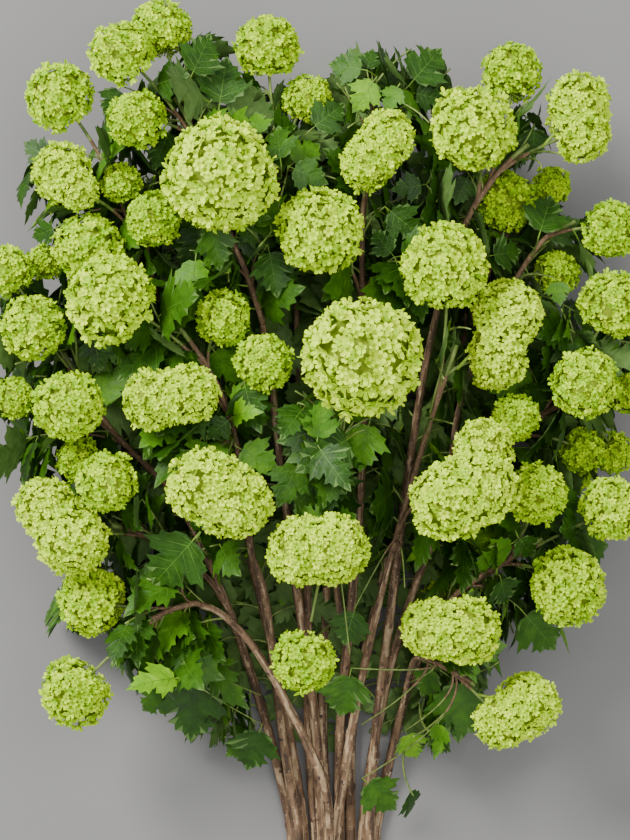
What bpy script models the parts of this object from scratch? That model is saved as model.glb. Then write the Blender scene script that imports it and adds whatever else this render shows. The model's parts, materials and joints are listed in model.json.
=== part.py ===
"""A bunch of cut snowball viburnum branches, lying on its back on a flat surface.

+Z is up, +Y runs along the bunch from its cut ends to its crown, and +X is across it.
Each cut branch is a woody stem, a bough where the stem forks low down, and a mass of
leafy twigs that grows on from each limb's tip. The large flower heads are solids of
their own on the ends of the twigs, and the small ones are fused to their twigs.
"""

import math
import random
from collections import namedtuple

import bmesh
import bpy
import numpy as np
from mathutils import Matrix, Vector

CM = 0.01
GAP = 0.0003  # left between two solids that meet
SEED = 7

# The bunch, in metres
CUT_ALONG = -0.376  # the cut ends, all trimmed to one plane
WAIST_ALONG = -0.286  # where the stems lie tightest together
WAIST_CENTRE = 0.015  # the middle of the waist, across
FOOT_SPREAD = 1.12  # how much wider the stems lie at the cut than at the waist

# Wood, in metres
STEM_RADIUS = 0.0046  # at the waist and below
STEM_TIP_RADIUS = 0.0026
BOUGH_RADIUS = 0.0030
BOUGH_TIP_RADIUS = 0.0021
FORK_SHARE = 0.85  # the most of its stem's radius that a bough has where it forks
TIP_SETBACK = 0.004  # a limb ends this far short of its tip's place, on a straight piece
AXIS_TIP_RADIUS = 0.0019
TWIG_RADIUS = 0.0015
STALK_LENGTH = 0.007  # the stalk that a large head keeps
SHORTEST_TWIG = 0.008
PILE_GAP = 0.00015  # between the stems where they lie on each other
BEAD_STEP = 0.003  # spacing of the beads that stand for a limb
ROOM_NEAR = 0.01  # room beyond this isn't measured

# Leaves and flower heads, in metres
LEAF_LENGTH = 0.056
LEAF_THICKNESS = 0.0016
LEAF_DROOP = 0.45  # how strongly its tip turns to the cut ends
LEAF_ROOT = 0.0003  # how far a leaf's root runs past the middle of its twig
LEAFY_TWIG = 0.012  # the shortest twig that carries leaves
PAIR_SPACING = 0.075  # between the pairs of leaves on a mass's own stem
PAIR_PLACE = 0.75  # where a twig carries a pair, as a share of its length
LARGE_HEAD = 0.0515  # heads this wide across all their lobes are solids of their own
BALL_SWELL = 1.04  # a faceted ball's corners stand this much outside the round one
HEAD_CLEAR = 0.0015
TWIG_LEANS = (0.8, 0.5, 1.1, 0.2, 1.5, 0.0, -0.3, 2.0, -0.7, 2.6)  # how far back it starts
LEAF_CLEAR = 0.0012

PILE_PITCH = 2 * STEM_RADIUS + PILE_GAP


def cm(across, along, height):
    return Vector((across, along, height)) * CM


# A cut stem: its place in the pile at the waist, as a column of the bottom row and a
# row, then the points in cm (across, along, height) that it grows through, the tip
# where its mass takes over, and the points that the mass's own stem grows on through.
Stem = namedtuple("Stem", "name column row through tip beyond")
STEMS = (
    Stem("low_left", 3, 3, [(0.7, -22.7, 4.9), (-2.0, -16.4, 7.7), (-3.9, -12.7, 9.6), (-6.2, -9.6, 11.3)],
         (-9.0, -7.9, 12.8), [(-12.3, -9.0, 13.6)]),
    Stem("left", 0.5, 2, [(-2.5, -19.3, 3.4), (-3.9, -7.7, 8.2), (-4.9, -4.2, 9.8)],
         (-5.8, 3.7, 13.6), [(-7.6, 9.2, 16.2), (-10.2, 13.0, 17.4)]),
    Stem("top_left", 2.5, 2, [(0.0, -18.0, 3.2), (-1.6, -6.0, 6.8), (-2.9, 5.0, 10.8)],
         (-4.0, 13.5, 13.6), [(-6.4, 20.0, 14.6), (-8.9, 27.0, 15.2), (-10.4, 30.0, 15.0)]),
    Stem("right", 3.5, 2, [(2.9, -18.6, 3.6), (4.3, -11.0, 7.6), (5.1, -7.3, 9.6)],
         (6.0, -3.6, 11.4), [(8.4, 5.2, 15.4), (10.5, 11.5, 16.4)]),
    Stem("top_right", 6.5, 2, [(4.8, -19.0, 3.2), (6.0, -8.0, 6.8), (7.6, 5.0, 10.2)],
         (10.0, 17.5, 12.6), [(13.2, 23.8, 13.8), (16.0, 26.6, 14.2)]),
    Stem("top_middle", 4, 1, [(2.0, -19.0, 2.2), (2.7, -10.0, 5.2), (3.4, -1.5, 8.6), (3.7, 6.0, 11.2)],
         (3.6, 14.5, 13.4), [(3.6, 21.0, 13.4), (4.6, 30.0, 12.2)]),
    Stem("outer_top_left", 1, 1, [(-1.9, -20.0, 1.5), (-4.3, -8.0, 3.9), (-7.4, 3.0, 7.6)],
         (-10.7, 12.5, 10.8), [(-14.0, 20.8, 12.4), (-16.2, 26.0, 13.0)]),
    Stem("outer_left", 0, 1, [(-3.4, -20.0, 1.5), (-6.4, -10.0, 4.4), (-9.2, -3.0, 7.6)],
         (-11.6, 1.2, 9.8), [(-15.5, 5.2, 11.4), (-19.0, 11.0, 12.2)]),
    Stem("outer_right", 6, 1, [(4.7, -20.0, 1.6), (6.9, -10.0, 4.6), (9.4, -3.0, 7.8)],
         (12.2, 1.6, 10.0), [(16.2, 5.4, 11.4), (20.4, 8.6, 11.8)]),
    Stem("low_right", 7, 1, [(6.0, -21.0, 1.7), (7.6, -14.5, 4.0), (9.4, -10.0, 6.8)],
         (11.0, -7.4, 8.8), [(14.6, -4.8, 11.2), (17.2, -3.0, 12.2)]),
    Stem("top", 2, 1, [(-0.5, -19.0, 1.6), (-0.6, -8.0, 4.0), (-1.0, 2.0, 7.4)],
         (-1.3, 9.0, 9.8), [(-1.6, 17.0, 11.0), (-3.4, 27.0, 11.4)]),
    Stem("back", 3, 1, [(0.6, -18.0, 1.0), (0.9, -8.0, 2.6)],
         (0.8, 2.0, 4.6), [(1.0, 12.0, 6.2), (1.4, 24.0, 7.0)]),
    Stem("back_right", 5, 1, [(3.0, -18.0, 1.0), (5.0, -8.0, 2.4)],
         (7.6, 2.0, 4.6), [(11.5, 12.0, 5.8), (15.0, 21.5, 6.8)]),
)

# A bough: the stem that it forks from, and how far along (in cm) that is.
Bough = namedtuple("Bough", "name parent along through tip beyond")
BOUGHS = (
    Bough("mid_left", "outer_left", -9.0, [(-8.2, -6.6, 6.2)],
          (-10.4, -4.6, 8.6), [(-13.4, -2.6, 11.6), (-15.4, -2.0, 12.8)]),
    Bough("front", "top_middle", -12.0, [(1.7, -7.4, 8.6)],
          (1.3, -3.2, 13.0), [(1.4, 3.0, 17.0), (1.2, 7.0, 18.2)]),
    Bough("outer_top_right", "outer_right", -2.0, [(11.0, 6.4, 8.4)],
          (13.4, 13.2, 9.2), [(17.2, 19.4, 10.8), (19.8, 21.0, 11.4)]),
    Bough("lowest_right", "low_right", -16.5, [(7.6, -13.0, 6.6)],
          (8.4, -12.4, 8.6), [(10.4, -13.2, 10.6), (12.2, -14.2, 11.6)]),
    Bough("back_left", "outer_top_left", -12.0, [(-5.2, -4.0, 3.4)],
          (-7.8, 4.0, 4.4), [(-12.0, 12.5, 5.6), (-15.6, 20.5, 6.6)]),
    Bough("low_back", "back", -15.0, [(-0.8, -10.0, 1.8)],
          (-2.6, -6.2, 2.2), [(-6.4, -2.4, 2.0), (-9.8, 0.4, 3.0)]),
)

# The flower heads that face up, in cm: one (across, along, height, width) for each
# lobe. A head that has grown lopsided, or a pair that has grown together, has more.
HEADS = (
    [(-11.6, 35.2, 14.0, 4.6)],
    [(-14.2, 32.9, 18.0, 4.7)],
    [(-19.1, 30.1, 14.0, 5.1)],
    [(-13.1, 28.1, 17.5, 4.4)],
    [(-3.6, 34.0, 13.0, 5.1)],
    [(-0.6, 30.2, 12.0, 3.8)],
    [(-18.9, 24.4, 15.0, 4.5), (-17.5, 22.9, 16.2, 2.9)],
    [(-14.5, 23.7, 14.4, 3.0)],
    [(-12.0, 20.7, 17.0, 4.1)],
    [(-6.8, 23.5, 21.5, 7.9)],
    [(-16.9, 18.7, 14.9, 5.1)],
    [(0.4, 19.7, 19.0, 6.4)],
    [(5.3, 26.7, 17.5, 4.1), (3.8, 24.9, 17.5, 4.1)],
    [(-14.9, 14.8, 20.5, 6.5)],
    [(-6.7, 13.4, 19.0, 4.0)],
    [(-3.7, 10.2, 20.0, 4.2)],
    [(-20.9, 12.8, 16.0, 4.8)],
    [(-23.1, 17.1, 13.0, 3.8)],
    [(-20.6, 18.0, 10.0, 2.8)],
    [(-22.6, 7.6, 13.0, 3.2)],
    [(-18.1, 7.0, 18.0, 5.2)],
    [(-11.7, 7.4, 22.0, 4.5), (-9.0, 7.9, 22.0, 4.3)],
    [(-17.7, 2.9, 13.5, 3.4)],
    [(-15.2, 1.4, 18.5, 4.4)],
    [(-20.0, -0.5, 16.2, 4.5), (-18.0, -3.0, 16.4, 5.3)],
    [(-7.9, 1.2, 22.5, 5.4), (-5.7, -0.1, 22.5, 5.2)],
    [(-1.1, -3.5, 22.0, 5.0), (1.4, -3.3, 22.0, 5.1)],
    [(-16.8, -7.7, 12.9, 5.2)],
    [(-18.0, -14.5, 13.5, 5.2)],
    [(-0.8, -11.8, 18.0, 4.7)],
    [(3.4, 10.4, 22.5, 8.5)],
    [(9.5, 17.1, 20.0, 6.4)],
    [(11.6, 27.3, 18.0, 6.2)],
    [(14.9, 32.2, 12.0, 4.7)],
    [(19.8, 29.4, 15.0, 4.9), (19.8, 27.4, 15.0, 4.6)],
    [(14.6, 22.7, 9.8, 4.6)],
    [(18.2, 24.0, 8.0, 3.1)],
    [(22.2, 20.2, 13.5, 4.4)],
    [(18.6, 17.2, 8.8, 3.6)],
    [(22.3, 14.6, 14.0, 5.1)],
    [(14.2, 13.7, 17.3, 5.3), (13.4, 10.4, 16.8, 4.6)],
    [(20.0, 8.7, 17.0, 5.0)],
    [(14.9, 6.1, 15.4, 3.6)],
    [(12.2, 3.9, 21.0, 4.3), (9.7, 0.2, 22.0, 5.5), (12.1, 1.0, 22.0, 4.9)],
    [(16.4, 0.5, 17.0, 4.6)],
    [(20.4, 3.6, 10.0, 3.4)],
    [(23.1, 3.4, 7.2, 3.2)],
    [(22.3, -0.8, 14.0, 4.9)],
    [(18.7, -6.5, 15.5, 5.8)],
    [(8.6, -9.5, 17.0, 4.6), (11.1, -9.7, 17.0, 4.9)],
    [(13.9, -16.7, 13.5, 4.3), (16.0, -15.5, 13.5, 4.8)],
    [(24.0, 8.0, 9.0, 3.2)],
)

# Shoots that end in leaves and carry no flowers, in cm: where each one's tip is
SHOOTS = (
    (7.2, 29.0, 14.0), (1.6, 31.0, 15.5), (-7.6, 29.6, 17.0), (-21.6, 25.6, 11.5),
    (-18.2, -7.6, 8.6), (-11.4, -12.6, 10.4), (-4.2, -15.4, 7.2), (2.6, -11.6, 15.0),
    (3.6, -17.8, 6.4), (11.4, -13.4, 8.4), (17.4, -7.2, 8.2), (6.6, -6.4, 17.6),
    (7.4, -14.4, 7.2), (17.2, 27.2, 9.6), (8.8, 10.4, 18.6), (8.4, 6.6, 19.0),
    (3.6, 5.2, 19.4), (-3.2, 19.8, 17.6), (-9.2, 18.4, 18.0), (-10.6, -2.4, 17.0),
    (-17.6, 11.4, 17.0), (-8.4, 4.6, 18.0), (20.6, 12.0, 12.0), (-21.7, 4.6, 11.0),
)

# The heads that the bunch lies on, set out by rule between these bounds
UNDER_COUNT = 13
UNDER_TRIES = 900
UNDER_ALONG = (-0.10, 0.33)
UNDER_WIDTH = (0.036, 0.052)
UNDER_HALF_WIDTH = 0.215
UNDER_LIFT = 0.022  # the most that one of them lies above the surface

# A leaf's outline in units of its length, from its root round by the right: two side
# lobes, a notch beside each, and the middle lobe's tip; then how far each stands up
LEAF_OUTLINE = ((0.0, 0.0), (0.46, 0.50), (0.24, 0.60), (0.0, 1.0), (-0.24, 0.60), (-0.46, 0.50))
LEAF_RISE = (0.0, 0.07, 0.05, -0.10, 0.05, 0.07)
LEAF_MIDDLE = (0.0, 0.36)
LEAF_BEAD_RADIUS = 0.0026
LEAF_BEAD_STEP = 0.085  # between a blade's beads, in units of its length
LEAF_BEADS_FROM = 0.16  # they leave out the root, which is sunk in its twig
LEAF_SWINGS = (0.0, 0.5, -0.5, 1.0, -1.0)
LEAF_PITCHES = (0.6, 0.2, 1.0, -0.2, 1.4)
LEAF_TRIES = tuple((swing, pitch) for pitch in LEAF_PITCHES for swing in LEAF_SWINGS)

# Leaves that show at the front, in cm: where each one's root and tip lie
SHOWN_LEAVES = (
    ((-9.3, 31.2, 14.8), (-7.7, 34.8, 13.7)), ((-14.4, 30.8, 15.3), (-15.9, 28.7, 14.5)),
    ((-20.0, 25.6, 14.2), (-22.1, 27.0, 13.8)), ((-20.5, 25.1, 14.2), (-22.1, 20.7, 12.9)),
    ((-19.4, 20.4, 13.6), (-21.5, 19.7, 12.3)), ((-12.9, 25.0, 14.9), (-15.2, 26.4, 14.4)),
    ((-10.6, 27.8, 15.5), (-12.2, 24.6, 14.7)), ((-8.1, 20.7, 16.6), (-10.0, 17.2, 15.9)),
    ((-7.8, 20.5, 16.6), (-6.9, 16.9, 16.3)), ((-7.2, 28.9, 15.2), (-6.6, 33.4, 13.5)),
    ((-6.6, 29.2, 15.0), (-3.4, 33.1, 12.8)), ((-4.0, 27.1, 15.2), (-4.5, 29.2, 14.1)),
    ((-2.5, 24.8, 15.8), (-2.9, 28.1, 14.0)), ((-0.4, 27.6, 14.3), (2.3, 29.8, 13.8)),
    ((-2.0, 24.8, 15.7), (1.0, 23.5, 15.5)), ((-1.9, 24.9, 15.6), (0.5, 26.8, 14.5)),
    ((3.9, 32.1, 14.3), (0.9, 32.8, 13.1)), ((4.6, 31.5, 14.5), (2.8, 28.9, 14.3)),
    ((3.9, 32.1, 14.3), (4.4, 34.0, 13.8)), ((7.0, 30.9, 14.7), (9.6, 34.0, 13.6)),
    ((7.2, 30.5, 14.7), (9.9, 30.0, 14.1)), ((6.3, 30.9, 14.7), (5.2, 28.8, 14.8)),
    ((16.0, 28.8, 13.0), (17.8, 30.6, 12.6)), ((16.5, 28.2, 12.8), (16.5, 25.6, 11.2)),
    ((17.9, 27.2, 12.5), (18.2, 23.4, 10.3)), ((16.8, 19.6, 11.9), (18.0, 23.2, 10.2)),
    ((17.5, 19.7, 11.7), (20.3, 21.3, 11.3)), ((13.0, 18.2, 14.2), (15.8, 18.8, 12.1)),
    ((11.6, 24.5, 13.8), (10.6, 22.1, 13.8)), ((8.3, 23.5, 15.0), (5.7, 23.1, 15.2)),
    ((-3.5, 18.9, 16.7), (-2.7, 15.0, 16.7)), ((5.2, 21.8, 15.7), (8.0, 19.5, 15.4)),
    ((5.9, 18.0, 16.2), (4.2, 20.1, 15.7)), ((4.1, 6.1, 17.5), (3.2, 2.1, 17.4)),
    ((8.5, 9.5, 16.4), (9.4, 4.7, 17.0)), ((-5.8, 4.0, 18.6), (-2.7, 2.3, 18.1)),
    ((-1.1, 3.1, 18.1), (-2.7, -0.5, 18.6)), ((6.3, -3.8, 17.4), (6.9, -7.5, 15.2)),
    ((-16.7, 12.5, 16.0), (-16.0, 9.6, 15.9)), ((19.6, 13.6, 13.0), (23.2, 12.0, 12.3)),
    ((18.3, 16.7, 11.3), (18.6, 14.6, 12.1)), ((-8.4, -2.3, 18.2), (-12.2, -6.5, 16.0)),
    ((-18.3, -8.7, 11.3), (-22.0, -10.9, 10.0)), ((-9.1, -13.4, 9.4), (-9.7, -19.2, 7.2)),
    ((-11.5, -14.9, 8.8), (-13.5, -16.8, 7.6)), ((2.8, -13.1, 9.5), (1.9, -17.3, 7.5)),
    ((3.1, -8.2, 11.4), (2.2, -11.4, 9.8)), ((11.3, -13.4, 9.4), (11.1, -19.2, 7.2)),
    ((9.3, -13.1, 9.5), (8.1, -15.7, 8.1)), ((15.6, -8.4, 11.4), (18.6, -11.9, 9.6)),
    ((-4.1, -17.6, 7.7), (-5.4, -21.7, 5.8)), ((7.0, -18.1, 7.5), (8.0, -20.6, 6.2)),
    ((3.7, -22.0, 6.0), (6.5, -24.9, 4.6)), ((13.8, -5.7, 15.7), (14.5, -8.1, 13.5)),
    ((15.1, -2.7, 15.8), (16.5, -4.5, 14.7)), ((-6.1, 6.1, 18.4), (-8.0, 4.5, 18.2)),
)
SHOWN_LIFTS = (0.0, -0.008, 0.007, -0.016, 0.014)  # a shown leaf lies where one of these is clear
SHOWN_LEANS = (0.0, 0.35, -0.35)  # and leans to one side by one of these

# The crown's edge seen from above, in cm, from its top left round by the right
CROWN_EDGE = (
    (-15.5, 30.5), (-11.5, 32.0), (-9.8, 35.0), (-6.5, 35.4), (-5.4, 34.4), (-1.8, 31.5), (-0.6, 32.6),
    (1.2, 33.8), (4.0, 34.8), (5.8, 33.6), (9.8, 34.8), (10.6, 33.0), (10.2, 29.5), (12.0, 28.0),
    (14.5, 29.0), (16.0, 31.0), (18.4, 31.0), (19.0, 27.0), (19.3, 22.8), (21.5, 22.3), (24.8, 20.5),
    (25.2, 10.0), (24.8, -2.0), (22.5, -5.5), (19.2, -7.0), (19.6, -12.5), (17.5, -13.0), (13.8, -13.4),
    (12.0, -19.6), (8.8, -21.5), (7.0, -25.5), (-1.5, -25.5), (-3.5, -22.0), (-6.2, -22.0), (-7.4, -19.4),
    (-10.6, -20.0), (-11.5, -17.5), (-14.5, -17.8), (-14.5, -14.5), (-16.0, -12.5), (-20.0, -12.4),
    (-22.8, -11.6), (-22.8, -9.0), (-20.5, -8.0), (-19.5, -5.0), (-20.5, -3.0), (-22.8, -1.0),
    (-24.6, 2.0), (-25.2, 16.0), (-24.0, 19.0), (-22.2, 19.3), (-23.2, 25.0), (-22.8, 27.6), (-20.0, 27.0),
    (-16.8, 26.8),
)

# Where the bare stems show, from the low to the high end: its left and right edges, and
# the height above which no leaf hangs in front of them
BARE_ALONG = (-0.25, -0.055)
BARE_LEFT = (-0.022, -0.066)
BARE_RIGHT = (0.052, 0.088)
BARE_HEIGHT = (0.012, 0.045)

# The limbs that show at the front of the crown
SHOWN_LIMBS = ("low_left", "left", "top_left", "right", "top_right", "top_middle", "outer_left",
               "outer_right", "low_right", "mid_left", "outer_top_right", "lowest_right")
SHOWN_EDGE = 0.001  # kept clear of leaves beside each of them

MOST_OVER = 0.10  # the share of a leaf that may lie over what shows
VIEW_CELL = 0.002
VIEW_FROM = (-0.30, -0.40)
VIEW_CELLS = (300, 400)


def smooth_line(points, steps):
    """A Catmull-Rom curve through the points, with this many steps between two."""
    ends = [2 * points[0] - points[1], *points, 2 * points[-1] - points[-2]]
    line = []
    for a, b, c, d in zip(ends, ends[1:], ends[2:], ends[3:]):
        for k in range(steps):
            t = k / steps
            line.append(
                0.5 * (2 * b + (c - a) * t + (2 * a - 5 * b + 4 * c - d) * t**2
                       + (3 * b - a - 3 * c + d) * t**3)
            )
    line.append(points[-1].copy())
    return line


def arc_lengths(line):
    """How far along the line each of its points lies."""
    far = [0.0]
    for a, b in zip(line, line[1:]):
        far.append(far[-1] + (b - a).length)
    return far


def taper(line, first, last, even=0.0):
    """The radius at each point of a limb that thins steadily beyond its even start."""
    far = arc_lengths(line)
    return [first + (last - first) * max(0.0, s - even) / (far[-1] - even) for s in far]


def along_line(line, distance):
    """The point at this distance along the line, and the line's direction there."""
    for a, b in zip(line, line[1:]):
        step = (b - a).length
        if distance <= step:
            return a + (b - a) * (distance / step), (b - a).normalized()
        distance -= step
    return line[-1].copy(), (line[-1] - line[-2]).normalized()


def trimmed(line, start, end):
    """The line between two distances along it."""
    far = arc_lengths(line)
    inner = [p for p, s in zip(line, far) if start + 1e-5 < s < end - 1e-5]
    return [along_line(line, start)[0], *inner, along_line(line, end)[0]]


def beads_of(line, radii):
    """A limb as a row of beads: an array of (x, y, z, radius)."""
    far = arc_lengths(line)
    count = max(2, math.ceil(far[-1] / BEAD_STEP) + 1)
    at = np.linspace(0, far[-1], count)
    columns = [np.interp(at, far, [p[k] for p in line]) for k in range(3)]
    return np.stack([*columns, np.interp(at, far, radii)], axis=1)


class Taken:
    """The room that solids take up, as beads with their owner's number."""

    def __init__(self):
        self.beads = np.zeros((0, 4))
        self.owners = np.zeros(0, int)
        self.numbers = {}

    def number(self, owner):
        return self.numbers.setdefault(owner, len(self.numbers))

    def add(self, owner, beads):
        self.beads = np.vstack([self.beads, beads])
        self.owners = np.append(self.owners, np.full(len(beads), self.number(owner)))

    def room(self, beads, owner=None):
        """The least distance from these beads to those of every other owner."""
        rows = self.beads
        if owner is not None:
            rows = rows[self.owners != self.number(owner)]
        low = (beads[:, :3] - beads[:, 3:]).min(0) - ROOM_NEAR
        high = (beads[:, :3] + beads[:, 3:]).max(0) + ROOM_NEAR
        near = rows[((rows[:, :3] + rows[:, 3:] > low) & (rows[:, :3] - rows[:, 3:] < high)).all(1)]
        if not len(near):
            return ROOM_NEAR
        apart = np.linalg.norm(beads[:, None, :3] - near[None, :, :3], axis=2)
        return float((apart - beads[:, None, 3] - near[None, :, 3]).min())


def pile_place(column, row):
    """Where a stem's middle lies at the waist: rows sit in the notches of the row below."""
    across = WAIST_CENTRE + (column - 3.5) * PILE_PITCH
    height = STEM_RADIUS + (row - 1) * PILE_PITCH * math.sin(math.radians(60))
    return Vector((across, WAIST_ALONG, height))


def stem_line(stem):
    """A stem with its mass's own stem, and which of the line's points is its tip."""
    waist = pile_place(stem.column, stem.row)
    foot = waist.copy()
    foot.x = WAIST_CENTRE + (waist.x - WAIST_CENTRE) * FOOT_SPREAD
    foot.y = CUT_ALONG
    points = [foot, waist, *(cm(*p) for p in (*stem.through, stem.tip, *stem.beyond))]
    line = smooth_line(points, 2)
    return [foot, *line[2:]], 2 * len(stem.through) + 3


def bough_line(bough, start):
    """A bough with its mass's own stem, and which of the line's points is its tip."""
    points = [start, *(cm(*p) for p in (*bough.through, bough.tip, *bough.beyond))]
    return smooth_line(points, 3), 3 * len(bough.through) + 3


def on_stem(limb, along):
    """The point of a stem that lies this far along the bunch, and its radius there."""
    line, radii = limb
    for a, b, first, last in zip(line, line[1:], radii, radii[1:]):
        if a.y <= along <= b.y:
            share = (along - a.y) / (b.y - a.y)
            return a.lerp(b, share), first + (last - first) * share
    return line[-1].copy(), radii[-1]


def split_limb(line, tip, first, last, even=0.0):
    """A limb, and its mass's own stem, which carries on a gap beyond the limb's tip."""
    far = arc_lengths(line)
    end = far[tip] - TIP_SETBACK
    limb = trimmed(line, 0.0, end - GAP / 2)
    axis = trimmed(line, end + GAP / 2, far[-1])
    return (limb, taper(limb, first, last, even)), (axis, taper(axis, last, AXIS_TIP_RADIUS))


def grow_limbs():
    """Every stem and bough, and the stem of the mass at its tip, by name."""
    limbs, axes = {}, {}
    for stem in STEMS:
        limbs["stem_" + stem.name], axes[stem.name] = split_limb(
            *stem_line(stem), STEM_RADIUS, STEM_TIP_RADIUS, WAIST_ALONG - CUT_ALONG
        )
    for bough in BOUGHS:
        start, radius = on_stem(limbs["stem_" + bough.parent], bough.along * CM)
        limbs["bough_" + bough.name], axes[bough.name] = split_limb(
            *bough_line(bough, start), min(BOUGH_RADIUS, radius * FORK_SHARE), BOUGH_TIP_RADIUS
        )
    return limbs, axes


Lobe = namedtuple("Lobe", "middle radius")
Head = namedtuple("Head", "lobes goal mass large name")  # a leafy shoot has no lobes


def lobe_beads(lobes):
    return np.array([[*lobe.middle, lobe.radius * BALL_SWELL] for lobe in lobes]).reshape(-1, 4)


def width_of(lobes):
    """A head's greatest width across all its lobes."""
    return max(
        (a.middle - b.middle).length + a.radius + b.radius for a in lobes for b in lobes
    )


AXIS_BEADS = {}


def nearest_mass(point, axes):
    """The mass whose own stem lies nearest to this point."""
    if not AXIS_BEADS:
        AXIS_BEADS.update({name: beads_of(*axis)[:, :3] for name, axis in axes.items()})

    def away(name):
        return np.linalg.norm(AXIS_BEADS[name] - np.array(point), axis=1).min()

    return min(axes, key=away)


def half_width_at(along):
    """Half the crown's width, narrowing to both ends."""
    low, high = UNDER_ALONG
    share = (along - low) / (high - low)
    return UNDER_HALF_WIDTH * (0.45 + 0.55 * math.sin(math.pi * min(1.0, 0.12 + 0.92 * share)))


def under_heads(taken, rng):
    """The heads on the underside, placed one by one where there is room for them."""
    found = []
    for _ in range(UNDER_TRIES):
        if len(found) == UNDER_COUNT:
            break
        radius = rng.uniform(*UNDER_WIDTH) / 2
        along = rng.uniform(*UNDER_ALONG)
        across = rng.uniform(-1, 1) * half_width_at(along)
        lift = max(0.0, rng.uniform(-1.2, 1)) * UNDER_LIFT
        lobes = [Lobe(Vector((across, along, radius * BALL_SWELL + lift)), radius)]
        if taken.room(lobe_beads(lobes)) > 2 * HEAD_CLEAR:
            taken.add("under", lobe_beads(lobes))
            found.append(lobes)
    return found


def grow_heads(axes, taken, rng):
    """Every flower head, with the mass that carries it."""
    facing = [[Lobe(cm(*row[:3]), row[3] * CM / 2) for row in head] for head in HEADS]
    for lobes in facing:
        taken.add("facing", lobe_beads(lobes))
    heads, large_count, small_count = [], 0, 0
    for lobes in facing + under_heads(taken, rng):
        large = width_of(lobes) >= LARGE_HEAD
        large_count += large
        small_count += not large
        name = f"head_{large_count:02d}" if large else f"small_head_{small_count:02d}"
        mass = nearest_mass(sum((lobe.middle for lobe in lobes), Vector()) / len(lobes), axes)
        root = axes[mass][0][0]
        goal = min((lobe.middle for lobe in lobes), key=lambda p: (p - root).length)
        heads.append(Head(lobes, goal, mass, large, name))
    return heads


def grow_shoots(axes):
    """The leafy shoots, each with the mass that carries it."""
    tips = [cm(*place) for place in SHOOTS]
    return [
        Head([], tip, nearest_mass(tip, axes), False, f"shoot_{number:02d}")
        for number, tip in enumerate(tips, 1)
    ]


def twig_line(start, heading, goal):
    """A twig that leaves along its stem's heading and bends round to its goal."""
    reach = (goal - start).length
    knee = start + heading * reach * 0.28 + (goal - start) * 0.22
    steps = 2
    line = []
    for k in range(steps + 1):
        t = k / steps
        line.append(start * (1 - t) ** 2 + knee * 2 * t * (1 - t) + goal * t**2)
    return line


def bare_length(lobes, twig):
    """How far along its twig a flower head begins."""
    edge = arc_lengths(twig)[-1]
    while edge > 0:
        point = along_line(twig, edge)[0]
        if all((point - lobe.middle).length > lobe.radius * BALL_SWELL for lobe in lobes):
            break
        edge -= 0.0005
    return edge


def twig_end(head, twig):
    """How far the mass's part of a twig goes: a large head keeps the last of it."""
    bare = bare_length(head.lobes, twig)
    return bare - STALK_LENGTH if head.large else bare


def free_start(at, longest, starts):
    """The nearest place to this one along a mass's stem that keeps off other twigs' starts."""
    steps = sorted(range(-30, 31), key=abs)
    for step in steps:
        place = at + step * TWIG_RADIUS
        if TIP_SETBACK < place < longest - 0.001:
            if all(abs(place - other) > 1.8 * TWIG_RADIUS for other in starts):
                return place
    return at


def grow_twig(head, axes, starts, taken):
    """A head's twig, by the first way from its mass's stem that is clear, and the room it has."""
    line, radii = axes[head.mass]
    longest = arc_lengths(line)[-1]
    beads = beads_of(line, radii)
    around = lobe_beads(head.lobes)
    apart = np.linalg.norm(beads[:, :3] - np.array(head.goal), axis=1)
    nearest = apart.argmin() / (len(beads) - 1) * longest
    best = None
    for lean in TWIG_LEANS:
        at = free_start(
            min(max(nearest - lean * apart.min(), TIP_SETBACK), longest - 0.001), longest, starts
        )
        start, heading = along_line(line, at)
        twig = twig_line(start, heading, head.goal)
        own = beads_of(twig, [TWIG_RADIUS] * len(twig))
        off = np.linalg.norm(own[:, None, :3] - around[None, :, :3], axis=2) - around[:, 3]
        own = own[(off > TWIG_RADIUS + 2 * HEAD_CLEAR).all(1)]
        room = taken.room(own, head.mass) if len(own) else 1.0
        if twig_end(head, twig) < SHORTEST_TWIG:
            room = min(room, 0.0) - 1.0
        if best is None or room > best[0]:
            best = (room, twig, own, at)
        if room > HEAD_CLEAR:
            break
    room, twig, own, at = best
    if not head.lobes and room < HEAD_CLEAR:
        return None, room
    starts.append(at)
    if len(own):
        taken.add(head.mass, own)
    return twig, room


def leaf_frame(root, heading, outward):
    """A leaf's matrix: +Y from its root to its tip, +Z its upper face."""
    along = heading.normalized()
    up = outward - along * outward.dot(along)
    if up.length < 1e-6:
        up = along.orthogonal()
    up.normalize()
    across = along.cross(up)
    matrix = Matrix((across, along, up)).transposed().to_4x4()
    matrix.translation = root - along * LEAF_ROOT
    return matrix


def leaf_sample():
    """Points spread evenly over a leaf of length 1, tip first."""
    corners = [np.array((*place, rise)) for place, rise in zip(LEAF_OUTLINE, LEAF_RISE)]
    middle = np.array((*LEAF_MIDDLE, 0.0))
    points = [corners[3], *(c for c in corners if c[1] > LEAF_BEADS_FROM)]
    for a, b in zip(corners, corners[1:] + corners[:1]):
        sides = np.array((a[:2] - middle[:2], b[:2] - middle[:2])).T
        for i, j in np.ndindex(14, 14):
            place = np.array((i - 6.5, j)) * LEAF_BEAD_STEP
            u, v = np.linalg.solve(sides, place - middle[:2])
            if u >= 0 and v >= 0 and u + v <= 1 and place[1] > LEAF_BEADS_FROM:
                points.append(middle + u * (a - middle) + v * (b - middle))
    return np.array(points)


LEAF_SAMPLE = leaf_sample()


def leaf_beads(matrix, length):
    turn, place = np.array(matrix.to_3x3()), np.array(matrix.translation)
    points = LEAF_SAMPLE * length @ turn.T + place
    return np.column_stack([points, np.full(len(points), LEAF_BEAD_RADIUS)])


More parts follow.
